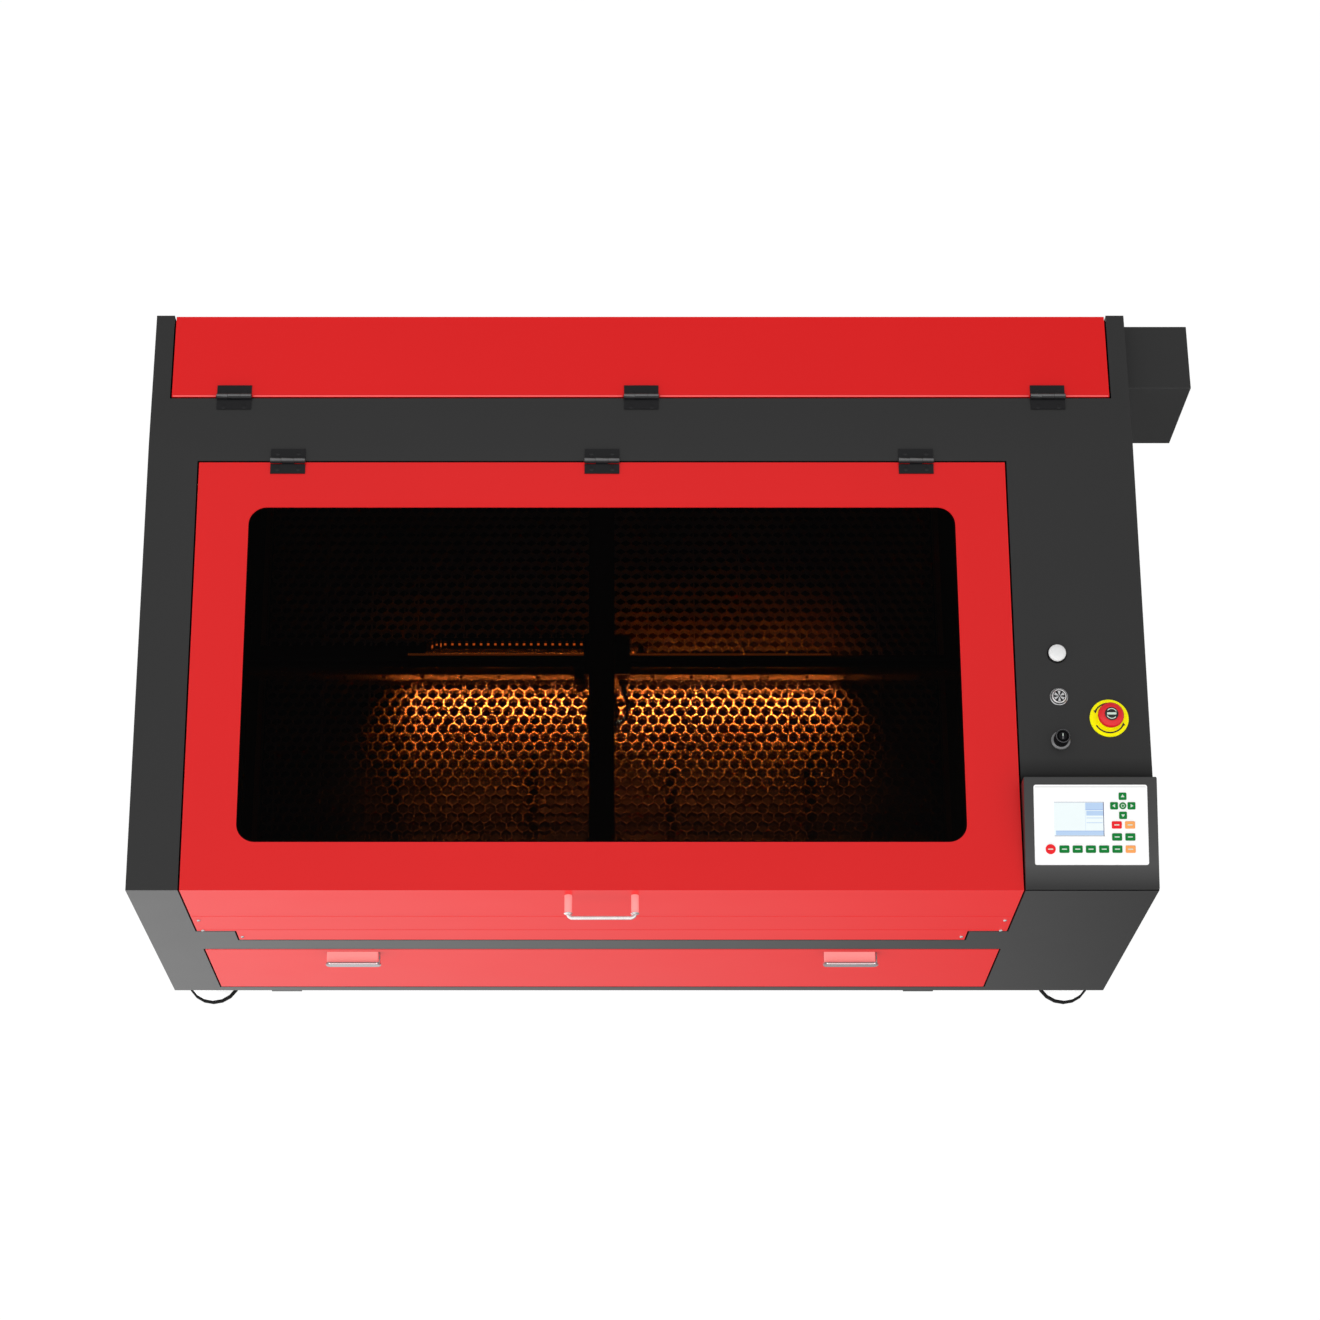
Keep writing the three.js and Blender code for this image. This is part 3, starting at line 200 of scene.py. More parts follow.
def painted(name, colour, rough, grain, level=0.5, coat=0.0, tone=None):
    """Powder coat: an almost even colour, a fine grain, roughness that wanders a little; tone, when given,
    paints shade and light into it.
    """
    n = Nodes(name)
    shader = n.principled(IOR=1.5)
    shader.inputs["Specular IOR Level"].default_value = level
    shader.inputs["Coat Weight"].default_value = coat
    shader.inputs["Coat Roughness"].default_value = 0.12
    cloud = n.noise(5.0, 2.0)
    darker = rgb(*(c * 0.985 for c in colour))
    n.join(n.ramp(cloud, [(0.35, darker), (0.65, rgb(*colour))]), shader.inputs["Base Color"])
    n.join(n.span(n.noise(12.0, 1.0), 0.3, 0.7, rough - 0.008, rough + 0.008), shader.inputs["Roughness"])
    n.join(n.bump(n.noise(1400.0, 1.0), grain, 0.0002), shader.inputs["Normal"])
    if tone:
        n.dim(shader, tone(n))
    return n.owner


def metal(name, colour, rough, stretch=(1, 1, 1), scale=400.0, scratch=0.08, bright=1.0):
    """Bare metal with fine brushing along the short axis of stretch."""
    n = Nodes(name)
    shader = n.principled(Metallic=bright)
    lines = n.noise(scale, 3.0, 0.6, stretch)
    low = rgb(*(c * 0.86 for c in colour))
    n.join(n.ramp(lines, [(0.3, low), (0.7, rgb(*colour))]), shader.inputs["Base Color"])
    n.join(n.span(lines, 0.25, 0.75, rough - 0.05, rough + 0.06), shader.inputs["Roughness"])
    n.join(n.bump(lines, scratch, 0.0003), shader.inputs["Normal"])
    return n.owner


def plastic(name, colour, rough, grain=0.04, scale=900.0, level=0.5):
    n = Nodes(name)
    shader = n.principled(IOR=1.48)
    shader.inputs["Specular IOR Level"].default_value = level
    cloud = n.noise(60.0, 2.0)
    darker = rgb(*(c * 0.99 for c in colour))
    n.join(n.ramp(cloud, [(0.35, darker), (0.65, rgb(*colour))]), shader.inputs["Base Color"])
    n.join(n.span(cloud, 0.3, 0.7, rough - 0.03, rough + 0.05), shader.inputs["Roughness"])
    n.join(n.bump(n.noise(scale, 2.0), grain, 0.0004), shader.inputs["Normal"])
    return n.owner


def galvanised(name):
    """Zinc-coated sheet with its faint spangle."""
    n = Nodes(name)
    shader = n.principled(Metallic=1.0)
    cells = n.add("TexVoronoi", {"Scale": 60.0})
    n.join(n.place(), cells.inputs["Vector"])
    tone = n.ramp(cells.outputs["Color"], [(0.2, (0.30, 0.31, 0.32)), (0.8, (0.44, 0.45, 0.46))])
    n.join(tone, shader.inputs["Base Color"])
    n.join(n.span(cells.outputs["Distance"], 0.0, 0.6, 0.42, 0.55), shader.inputs["Roughness"])
    return n.owner


def clear_sheet(name, scale, tints, rough, ior):
    """Thin glazing: light passes straight through, tinted, under a weak gloss."""
    n = Nodes(name)
    through = n.add("BsdfTransparent")
    n.join(n.ramp(n.noise(scale), [(0.3, tints[0]), (0.7, tints[1])]), through.inputs["Color"])
    gloss = n.add("BsdfGlossy", {"Color": rgb(1, 1, 1), "Roughness": rough})
    edge = n.add("Fresnel", {"IOR": ior})
    mix = n.add("MixShader")
    n.join(edge.outputs["Fac"], mix.inputs["Fac"])
    n.join(through.outputs["BSDF"], mix.inputs[1])
    n.join(gloss.outputs["BSDF"], mix.inputs[2])
    n.join(mix.outputs["Shader"], n.out.inputs["Surface"])
    return n.owner


def glowing(name, colour, strength, base=(0.02, 0.02, 0.02)):
    n = Nodes(name)
    shader = n.principled(Roughness=0.4)
    shader.inputs["Base Color"].default_value = rgb(*base)
    shader.inputs["Specular IOR Level"].default_value = 0.1
    spots = n.ramp(n.noise(80.0), [(0.3, rgb(*(c * 0.985 for c in colour))), (0.7, rgb(*colour))])
    n.join(spots, shader.inputs["Emission Color"])
    shader.inputs["Emission Strength"].default_value = strength
    return n.owner


DARK_TONE = (0.0195, 0.0195, 0.0195)
RED = painted("red_coat", (0.70, 0.0100, 0.0110), 0.30, 0.02, level=0.25)
DARK = painted("dark_coat", DARK_TONE, 0.36, 0.03, level=0.40, coat=0.3)
# The deck's dark coat with a painted shadow behind the console.
DECK_DARK = painted("deck_dark", DARK_TONE, 0.36, 0.03, 0.40, 0.3, console_shadow_on_deck)
# The console's dark coat, with painted shade at its front fold and painted light below the keypad.
CONSOLE_DARK = painted("console_dark", (0.0310, 0.0310, 0.0310), 0.38, 0.03, 0.60, 0.42, console_painted_shading)
HINGE_BLACK = painted("hinge_black", (0.008, 0.008, 0.009), 0.30, 0.04, level=0.38)
CHAMBER = painted("chamber_black", (0.010, 0.010, 0.010), 0.6, 0.05, level=0.3)
DOME_WHITE = plastic("dome_white", (0.78, 0.78, 0.78), 0.22, 0.01)
# Chrome tinted warm: a painted reflection of the red apron.
WARM_CHROME = metal("warm_chrome", (0.97, 0.90, 0.89), 0.15, scale=90.0, scratch=0.01, bright=0.75)
# A glowing pink-red: painted reflection of the red paint, and painted light, on the handle's stand-offs and
# the pulls' tops.
RED_REFLECTION_GLOW = glowing("painted_red_reflection", (1.0, 0.31, 0.30), 0.40, (0.85, 0.26, 0.25))
# A glowing white line: a painted highlight.
EDGE_HIGHLIGHT_GLOW = glowing("painted_edge_highlight", (1.0, 0.97, 0.96), 0.5, (0.8, 0.8, 0.8))
LIP_CHROME = metal("lip_chrome", (0.50, 0.49, 0.50), 0.14, scale=90.0, scratch=0.01, bright=0.7)
CHROME = metal("chrome", (0.88, 0.86, 0.86), 0.13, scale=90.0, scratch=0.01, bright=0.72)
STEEL = metal("turned_steel", (0.66, 0.66, 0.67), 0.24, (1, 1, 30), bright=0.8)
ALLOY = metal("satin_alloy", (0.62, 0.63, 0.64), 0.34, (1, 30, 30))
BED_ALLOY = metal("bed_alloy", (0.42, 0.41, 0.40), 0.42, (30, 1, 30), bright=0.6)
ANODISED = metal("black_anodised", (0.03, 0.03, 0.032), 0.38, (1, 30, 30))
ZINC = galvanised("galvanised")
BLACK_PLASTIC = plastic("black_plastic", (0.015, 0.015, 0.016), 0.42)
# The yellow plastic glows faintly: painted light.
YELLOW_PLASTIC_GLOW = glowing("yellow_plastic", (1.0, 0.98, 0.0), 0.10, (0.95, 0.92, 0.0))
RED_PLASTIC = plastic("red_plastic", (0.72, 0.012, 0.018), 0.30)
WHITE_PLASTIC = plastic("white_plastic", (0.93, 0.93, 0.93), 0.28, 0.01)
GREEN_KEY = plastic("green_key", (0.001, 0.19, 0.030), 0.36, level=0.15)
RED_KEY = plastic("red_key", (0.80, 0.010, 0.018), 0.36, level=0.2)
ORANGE_KEY = plastic("orange_key", (0.90, 0.36, 0.10), 0.36, level=0.2)
# White ink for printed marks; on the key switch it is a painted glint.
WHITE_INK_AND_GLINT = plastic("white_ink_and_glint", (0.62, 0.74, 0.64), 0.5, level=0.2)
INK_BLACK = plastic("ink_black", (0.015, 0.015, 0.015), 0.5)
BLUE_PLASTIC = plastic("blue_plastic", (0.02, 0.10, 0.55), 0.3)
BRASS = metal("brass", (0.72, 0.50, 0.20), 0.25)
# White foot pads with a faint glow: painted light.
FOOT_WHITE_GLOW = glowing("foot_pad_glow", (1.0, 1.0, 1.0), 0.2, (0.95, 0.95, 0.95))
RUBBER = plastic("rubber", (0.012, 0.012, 0.012), 0.75, 0.12, 500.0, level=0.08)
WINDOW = clear_sheet("smoked_window", 3.0, [(0.27, 0.165, 0.085), (0.28, 0.17, 0.088)], 0.04, 1.12)
GLASS = clear_sheet("tube_glass", 4.0, [(0.80, 0.88, 0.90), (0.88, 0.95, 0.96)], 0.03, 1.6)
LED = glowing("led_warm", (1.0, 0.62, 0.30), 6.0)
LIT_EDGE = glowing("lit_edge", (1.0, 0.60, 0.28), 3.0)
SCREEN_WHITE = glowing("screen_white", (0.90, 0.99, 1.0), 0.97)
SCREEN_PALE = glowing("screen_pale", (0.52, 0.70, 0.96), 0.93)
SCREEN_BLUE = glowing("screen_blue", (0.36, 0.52, 0.88), 0.9)


# --- mesh helpers
def mm(points):
    """Pairs in millimetres as pairs in metres."""
    return [(a * MM, b * MM) for a, b in points]


def put(name, shape, body, material, where=None, smooth=True, hides=()):
    """A finished shape as a piece that rides on a body, or stands alone when body is None."""
    mesh = shape if isinstance(shape, bpy.types.Mesh) else mesh_of(shape)
    piece = bpy.data.objects.new(name, mesh)
    bpy.context.scene.collection.objects.link(piece)
    for each in material if isinstance(material, (list, tuple)) else [material]:
        mesh.materials.append(each)
    if where is not None:
        mesh.transform(where)
    for face in mesh.polygons:
        face.use_smooth = smooth
    if smooth:
        mesh.set_sharp_from_angle(angle=math.radians(38))
    if body:
        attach(piece, body)
    if hides:
        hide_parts(*hides)
    return piece


def mesh_of(bm):
    bmesh.ops.remove_doubles(bm, verts=bm.verts, dist=1e-7)
    bmesh.ops.recalc_face_normals(bm, faces=bm.faces)
    mesh = bpy.data.meshes.new("mesh")
    bm.to_mesh(mesh)
    bm.free()
    return mesh


def block(bm, low, high, round_by=0.0, steps=2, material=0, turn=None):
    """Adds a box between two corners, its edges rounded."""
    low, high = Vector(low), Vector(high)
    made = bmesh.ops.create_cube(bm, size=1.0)
    size = Matrix.Diagonal((*(high - low), 1))
    place = Matrix.Translation((low + high) / 2) @ size
    bmesh.ops.transform(bm, matrix=place, verts=made["verts"])
    faces = list({f for v in made["verts"] for f in v.link_faces})
    if round_by:
        edges = list({e for v in made["verts"] for e in v.link_edges})
        rounded = bmesh.ops.bevel(
            bm, geom=edges, offset=round_by, segments=steps, profile=0.5, affect="EDGES", clamp_overlap=True
        )
        faces = list({f for f in faces if f.is_valid} | set(rounded["faces"]))
    for face in faces:
        face.material_index = material
    if turn is not None:
        verts = list({v for f in faces for v in f.verts})
        bmesh.ops.transform(bm, matrix=turn, verts=verts)
    return faces


def near(bm, base, low, high, *rest, **more):
    """Adds a block whose corners are given in millimetres from a base point."""
    corners = [[at + by * MM for at, by in zip(base, corner)] for corner in (low, high)]
    return block(bm, *corners, *rest, **more)


def lathe(bm, profile, sides=48, where=None, material=0, caps=True):
    """Adds a turned shape on a vertical axis, from (radius, height) pairs that run from bottom to top."""
    rings = []
    for radius, height in profile:
        if radius < 1e-9:
            rings.append([bm.verts.new((0, 0, height))])
            continue
        ring = []
        for i in range(sides):
            angle = 2 * math.pi * i / sides
            ring.append(bm.verts.new((radius * math.cos(angle), radius * math.sin(angle), height)))
        rings.append(ring)
    for lower, upper in zip(rings, rings[1:]):
        for i in range(max(len(lower), len(upper))):
            a = lower[i % len(lower)]
            b = lower[(i + 1) % len(lower)]
            c = upper[(i + 1) % len(upper)]
            d = upper[i % len(upper)]
            corners = list(dict.fromkeys([a, b, c, d]))
            if len(corners) > 2:
                bm.faces.new(corners).material_index = material
    for end in (rings[0], rings[-1]):
        if caps and len(end) > 1:
            bm.faces.new(end).material_index = material
    if where is not None:
        bmesh.ops.transform(bm, matrix=where, verts=[v for ring in rings for v in ring])


def plate(bm, outline, low, high, material=0, where=None):
    """Adds a flat outline of (x, y) points with a thickness."""
    bottom = [bm.verts.new((x, y, low)) for x, y in outline]
    top = [bm.verts.new((x, y, high)) for x, y in outline]
    bm.faces.new(list(reversed(bottom))).material_index = material
    bm.faces.new(top).material_index = material
    count = len(outline)
    for i in range(count):
        j = (i + 1) % count
        bm.faces.new((bottom[i], bottom[j], top[j], top[i])).material_index = material
    if where is not None:
        bmesh.ops.transform(bm, matrix=where, verts=bottom + top)


def round_rect(cx, cy, w, h, r, steps=5):
    """The outline of a rectangle with round corners."""
    points = []
    for quarter, (sx, sy) in enumerate([(1, 1), (-1, 1), (-1, -1), (1, -1)]):
        for i in range(steps + 1):
            angle = math.pi / 2 * (quarter + i / steps)
            x = cx + sx * (w / 2 - r) + r * math.cos(angle)
            points.append((x, cy + sy * (h / 2 - r) + r * math.sin(angle)))
    return points


def circle(cx, cy, r, sides=32):
    turn = 2 * math.pi / sides
    return [(cx + r * math.cos(i * turn), cy + r * math.sin(i * turn)) for i in range(sides)]


def sweep(bm, path, r, sides=20, material=0, caps=True):
    """Adds a round bar along points."""
    path = [Vector(p) for p in path]
    rings = []
    side = None
    for i, point in enumerate(path):
        ahead = (path[min(i + 1, len(path) - 1)] - path[max(i - 1, 0)]).normalized()
        if side is None:
            side = ahead.orthogonal().normalized()
        side = (side - ahead * side.dot(ahead)).normalized()
        up = ahead.cross(side)
        ring = []
        for k in range(sides):
            angle = 2 * math.pi * k / sides
            ring.append(bm.verts.new(point + (side * math.cos(angle) + up * math.sin(angle)) * r))
        rings.append(ring)
    for a, b in zip(rings, rings[1:]):
        for k in range(sides):
            j = (k + 1) % sides
            bm.faces.new((a[k], a[j], b[j], b[k])).material_index = material
    if caps:
        bm.faces.new(rings[0]).material_index = material
        bm.faces.new(rings[-1]).material_index = material


def area_light(name, place, target, size, power, colour=(1, 1, 1), glossy=True, size_y=None, spread=180):
    """A rectangular lamp at a place, turned to face a target, with its spread in degrees."""
    data = bpy.data.lights.new(name, "AREA")
    data.shape = "RECTANGLE"
    data.size = size
    data.size_y = size_y or size
    data.energy = power
    data.color = colour
    data.spread = math.radians(spread)
    light = bpy.data.objects.new(name, data)
    bpy.context.scene.collection.objects.link(light)
    light.location = place
    aim = Vector(target) - Vector(place)
    light.rotation_euler = aim.to_track_quat("-Z", "Y").to_euler()
    light.visible_glossy = glossy
    return light


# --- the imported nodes
def dress(name, material, edge=0.0, smooth=True):
    """Gives a CAD node its material and softly rounded edges."""
    node = NODES[name]
    node.data.materials.clear()
    for each in material if isinstance(material, (list, tuple)) else [material]:
        node.data.materials.append(each)
    for face in node.data.polygons:
        face.use_smooth = smooth
        face.material_index = 0
    if "custom_normal" in node.data.attributes:
        node.data.attributes.remove(node.data.attributes["custom_normal"])
    weld = node.modifiers.new("weld", "WELD")
    weld.merge_threshold = 1e-5
    if edge:
        bevel = node.modifiers.new("edge", "BEVEL")
        bevel.width = edge
        bevel.segments = 2
        bevel.limit_method = "ANGLE"
        bevel.angle_limit = math.radians(40)
        bevel.use_clamp_overlap = True
    if smooth:
        normals = node.modifiers.new("normals", "WEIGHTED_NORMAL")
        normals.keep_sharp = False
    return node


SHEET_EDGE = 0.7 * MM
PAD_RIM = 12 * MM  # height below which a foot's side faces turn dark
STEM_START = 25 * MM  # where a foot's steel stem comes out of its pad
DRESS = [
    (DARK, SHEET_EDGE, "front_frame side_panel_left side_panel_right rear_panel base_pan tube_extension_box"),
    (DECK_DARK, SHEET_EDGE, "top_deck"),
    (CONSOLE_DARK, 1.5 * MM, "console_housing"),
    (CHAMBER, 0, "tube_bulkhead chamber_wall_left chamber_wall_right"),
    ([RED, HINGE_BLACK], SHEET_EDGE, "lid_frame rear_cover front_flap"),
    (WINDOW, 0, "lid_window"),
    (HINGE_BLACK, 0.5 * MM, "window_bar"),
    (ANODISED, 0.5 * MM, "side_rail_left side_rail_right bed_frame"),
    ([ANODISED, STEEL], 0.6 * MM, "gantry_beam"),
    (ANODISED, 0.6 * MM, "head_carriage"),
    (ALLOY, 0.5 * MM, "first_mirror second_mirror tube_mount_left tube_mount_right"),
    (STEEL, 0.4 * MM, "cross_drive lift_drive strut_rod_left strut_rod_right"),
    (HINGE_BLACK, 0.4 * MM, "strut_cylinder_left strut_cylinder_right"),
    (ZINC, 0.5 * MM, "fan_housing laser_power_supply"),
    (BLACK_PLASTIC, 0.4 * MM, "fan_impeller power_inlet motion_controller drag_chain key_switch"),
    (HINGE_BLACK, 0.3 * MM, "lid_hinge_left lid_hinge_centre lid_hinge_right"),
    (HINGE_BLACK, 0.3 * MM, "cover_hinge_left cover_hinge_centre cover_hinge_right"),
    (FOOT_WHITE_GLOW, 0.4 * MM, "foot_front_left foot_front_right foot_rear_left foot_rear_right"),
    (CHROME, 0.5 * MM, "lid_handle flap_pull_left flap_pull_right"),
    (GLASS, 0, "laser_tube"),
    (ALLOY, 0.3 * MM, "lens_tube"),
    (BED_ALLOY, 0, "honeycomb_bed"),
    (WHITE_PLASTIC, 0.4 * MM, "control_panel"),
    (YELLOW_PLASTIC_GLOW, 0.3 * MM, "estop_base"),
    (RED_PLASTIC, 0.3 * MM, "estop_button"),
    (WHITE_PLASTIC, 0.3 * MM, "light_button"),
    (STEEL, 0.3 * MM, "laser_button"),
    (STEEL, 0.2 * MM, "key_core"),
]
for material, edge, names in DRESS:
    for name in names.split():
        dress(name, material, edge)


def sole_feet():
    """White pads that glow a little, painted light, with dark side faces low down and a steel stem above."""
    for side in ("front_left", "front_right", "rear_left", "rear_right"):
        mesh = NODES[f"foot_{side}"].data
        mesh.materials.append(RUBBER)
        mesh.materials.append(STEEL)
        for face in mesh.polygons:
            if face.center.z < PAD_RIM and face.normal.z < 0.8:
                face.material_index = 1
            elif face.center.z > STEM_START:
                face.material_index = 2


sole_feet()


# --- honeycomb bed
def honeycomb():
    """Thin-walled hexagonal cells, pointed towards the front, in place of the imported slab."""
    pitch = 15.6 * MM
    wall = 1.1 * MM
    low, high = BED_LOW, BED_HIGH
    rim = 9 * MM
    row = pitch * math.sqrt(3) / 2
    outer = pitch / math.sqrt(3)
    inner = (pitch - wall) / math.sqrt(3)
    columns = int((high.x - low.x - 2 * rim) / pitch)
    rows = int((high.y - low.y - 2 * rim - outer) / row)
    x0 = (low.x + high.x) / 2 - (columns - 0.5) * pitch / 2
    y0 = (low.y + high.y) / 2 - (rows - 1) * row / 2
    angles = [math.radians(30 + 60 * k) for k in range(6)]
    ring = np.array([(math.cos(a), math.sin(a)) for a in angles])
    verts, faces = [], []
    for j in range(rows):
        for i in range(columns):
            centre = np.array((x0 + (i + 0.5 * (j % 2)) * pitch, y0 + j * row))
            base = len(verts)
            for radius, z in ((outer, high.z), (inner, high.z), (inner, low.z), (outer, low.z)):
                verts.extend((*(centre + ring[k] * radius), z) for k in range(6))
            for k in range(6):
                n = (k + 1) % 6
                faces.append((base + k, base + n, base + 6 + n, base + 6 + k))
                faces.append((base + 6 + k, base + 6 + n, base + 12 + n, base + 12 + k))
                faces.append((base + 12 + k, base + 12 + n, base + 18 + n, base + 18 + k))
    mesh = bpy.data.meshes.new("honeycomb")
    mesh.from_pydata([tuple(v) for v in verts], [], faces)
    bm = bmesh.new()
    bm.from_mesh(mesh)
    bmesh.ops.remove_doubles(bm, verts=bm.verts, dist=1e-6)
    left, right, front, back = low.x + rim, high.x - rim, low.y + rim, high.y - rim
    for x0, x1, y0, y1 in ((low.x, left, low.y, high.y), (right, high.x, low.y, high.y),
                           (left, right, low.y, front), (left, right, back, high.y)):
        block(bm, (x0, y0, low.z), (x1, y1, high.z), 0.6 * MM, 2, 1)
    bm.to_mesh(mesh)
    bm.free()
    put("honeycomb_cells", mesh, "bed", [BED_ALLOY, ANODISED], smooth=False,
        hides=["honeycomb_bed"])


honeycomb()


# --- hinge leaves on the painted doors
def blacken_leaves(node, hinges, above):
    """The moving leaves are part of the door's node, so the faces that stand above its skin turn black."""
    ranges = [(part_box(h)[0].x - MM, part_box(h)[1].x + MM) for h in hinges]
    for face in NODES[node].data.polygons:
        x = face.center.x
        if any(a < x < b for a, b in ranges) and above(face.center) > 0.3 * MM:
            face.material_index = 1


def above_slope(point):
    return (DECK.inverted() @ Vector(point)).z


LID_HINGES = ["lid_hinge_left", "lid_hinge_centre", "lid_hinge_right"]
COVER_HINGES = ["cover_hinge_left", "cover_hinge_centre", "cover_hinge_right"]
blacken_leaves("lid_frame", LID_HINGES, above_slope)
blacken_leaves("rear_cover", COVER_HINGES, lambda point: point.z - REAR_Z)


def paint_barrel_highlights(door, hinges):
    """A painted highlight along the crown of each hinge barrel, on the fixed knuckles and on the door's own.
    """
    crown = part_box(hinges[0])[1].z - 0.5 * MM
    for node in [door, *hinges]:
        mesh = NODES[node].data
        mesh.materials.append(BARREL_HIGHLIGHT)
        for face in mesh.polygons:
            if face.center.z > crown:
                face.material_index = len(mesh.materials) - 1


def cover_edge_highlight():
    """A painted highlight: a thin brighter red strip on the folded edge along the rear cover's front, between
    its hinges.
    """
    corner = COVER_LOW.x + 5 * MM
    front = min(v.co.y for v in NODES["rear_cover"].data.vertices if v.co.x < corner)
    stops = [COVER_LOW.x]
    for hinge in COVER_HINGES:
        low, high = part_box(hinge)
        stops += [low.x, high.x]
    stops.append(COVER_HIGH.x)
    bm = bmesh.new()
    for x0, x1 in zip(stops[::2], stops[1::2]):
        block(bm, (x0 + 1.5 * MM, front + 0.3 * MM, REAR_Z - 0.1 * MM),
              (x1 - 1.5 * MM, front + 2.5 * MM, REAR_Z + 0.15 * MM), 0.1 * MM)
    put("cover_edge_highlight", bm, "rear_cover", RED_EDGE_HIGHLIGHT)


# Lighter grey for the barrels' crowns: a painted highlight.
BARREL_HIGHLIGHT = painted("barrel_highlight", (0.12, 0.12, 0.122), 0.25, 0.02)
# Brighter red for the cover's folded edge: a painted highlight.
RED_EDGE_HIGHLIGHT = painted("red_edge_highlight", (0.98, 0.13, 0.13), 0.30, 0.02, level=0.25)
paint_barrel_highlights("lid_frame", LID_HINGES)
paint_barrel_highlights("rear_cover", COVER_HINGES)
cover_edge_highlight()


def hinge_screws(name, body, centre_x, frame_of, seat, offset):
    """Two flat screws on a leaf."""
    bm = bmesh.new()
    for side in (-1, 1):
        where = frame_of @ Matrix.Translation((centre_x + side * 15 * MM, offset, seat))
        lathe(bm, mm([(0, -1), (3.4, -1), (3.4, 0.25), (2.2, 0.7), (0, 0.75)]), 20, where)
    put(name, bm, body, HINGE_BLACK)


LEAF_REACH = 12 * MM  # from a hinge's axis to its screws
LID_AXIS_S = 0.63425  # the lid hinges' axis, up the slope from the front edge
COVER_FLAT = Matrix.Translation((0, 0, REAR_Z))
COVER_AXIS_Y = COVER_LOW.y
for place in ("left", "centre", "right"):
    x = middle(f"lid_hinge_{place}").x
    hinge_screws(f"lid_leaf_screws_{place}", "lid", x, DECK, 2 * MM, LID_AXIS_S - LEAF_REACH)
    hinge_screws(f"lid_base_screws_{place}", "cabinet", x, DECK, 2.3 * MM, LID_AXIS_S + LEAF_REACH)
    x = middle(f"cover_hinge_{place}").x
    hinge_screws(f"cover_leaf_screws_{place}", "rear_cover", x, COVER_FLAT, 2 * MM, COVER_AXIS_Y + LEAF_REACH)
    hinge_screws(f"cover_base_screws_{place}", "cabinet", x, COVER_FLAT, 2.3 * MM, COVER_AXIS_Y - LEAF_REACH)


# --- control panel
PANEL_LOW, PANEL_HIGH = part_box("control_panel")
PANEL_X = PANEL_LOW.x
PANEL_FACE = 2.7 * MM  # height of the plate's face above the wedge
KEY_PITCH = 18.2 * MM
KEY_W = 13.8 * MM
KEY_H = 10.2 * MM
KEY_UP = 0.7 * MM
KEY_TOP = PANEL_FACE + KEY_UP
FIRST_KEY_X = PANEL_X + 40.5 * MM
ROW_S = [55.0 * MM, 71.8 * MM, 88.4 * MM]
ARROWS = (PANEL_X + 122.2 * MM, 114.8 * MM)
SCREEN_X = (PANEL_X + 27.5 * MM, PANEL_X + 96.3 * MM)
SCREEN_S = (73.0 * MM, 120.3 * MM)


def key(bm, x, s, material, w=KEY_W, h=KEY_H, r=1.6 * MM):
    """A raised membrane key with a softly rounded top."""
    plate(bm, round_rect(x, s, w, h, r), PANEL_FACE - 0.2 * MM, PANEL_FACE + KEY_UP * 0.7, material)
    plate(bm, round_rect(x, s, w - 0.8 * MM, h - 0.8 * MM, r), PANEL_FACE, KEY_TOP, material)


def round_key(bm, x, s, r, material, sides=32):
    plate(bm, circle(x, s, r, sides), PANEL_FACE - 0.2 * MM, KEY_TOP, material)


def mark(bm, outline, material):
    plate(bm, outline, KEY_TOP - 0.1 * MM, KEY_TOP + 0.12 * MM, material)


def dash(bm, x, s, material):
    mark(bm, round_rect(x, s, 7.0 * MM, 1.5 * MM, 0.5 * MM, 2), material)


def keypad():
    green, red, orange, white = 0, 1, 2, 3
    bm = bmesh.new()
    ax, as_ = ARROWS
    reach_x = 12.0 * MM
    reach_s = 13.2 * MM
    for dx, ds in ((0, 1), (-1, 0), (1, 0), (0, -1)):
        x, s = ax + dx * reach_x, as_ + ds * reach_s
        key(bm, x, s, green, 10.8 * MM, 10.2 * MM)
        head = 2.6 * MM
        tip = (x + dx * head, s + ds * head)
        wing = [(x - dx * head * 0.5 - ds * head, s - ds * head * 0.5 - dx * head),
                (x - dx * head * 0.5 + ds * head, s - ds * head * 0.5 + dx * head)]
        triangle = [tip, *wing]
        area = sum(a[0] * b[1] - b[0] * a[1] for a, b in zip(triangle, triangle[1:] + triangle[:1]))
        mark(bm, triangle if area > 0 else triangle[::-1], white)
    round_key(bm, ax, as_, 4.8 * MM, green)
    mark(bm, circle(ax, as_, 2.6 * MM, 20), white)
    plate(bm, circle(ax, as_, 1.7 * MM, 20), KEY_TOP, KEY_TOP + 0.2 * MM, green)
    last = FIRST_KEY_X + 5 * KEY_PITCH
    beside = FIRST_KEY_X + 4 * KEY_PITCH
    places = [(FIRST_KEY_X + i * KEY_PITCH, ROW_S[0], green) for i in range(5)]
    places += [(last, ROW_S[0], orange), (beside, ROW_S[1], green), (last, ROW_S[1], green),
               (beside, ROW_S[2], red), (last, ROW_S[2], orange)]
    for x, s, colour in places:
        key(bm, x, s, colour)
        dash(bm, x, s, white)
    stop_x = FIRST_KEY_X - KEY_PITCH - 0.7 * MM
    round_key(bm, stop_x, ROW_S[0], 6.9 * MM, red, 40)
    dash(bm, stop_x, ROW_S[0], white)
    colours = [GREEN_KEY, RED_KEY, ORANGE_KEY, WHITE_INK_AND_GLINT]
    put("keypad_keys", bm, "cabinet", colours, PANEL, smooth=False)


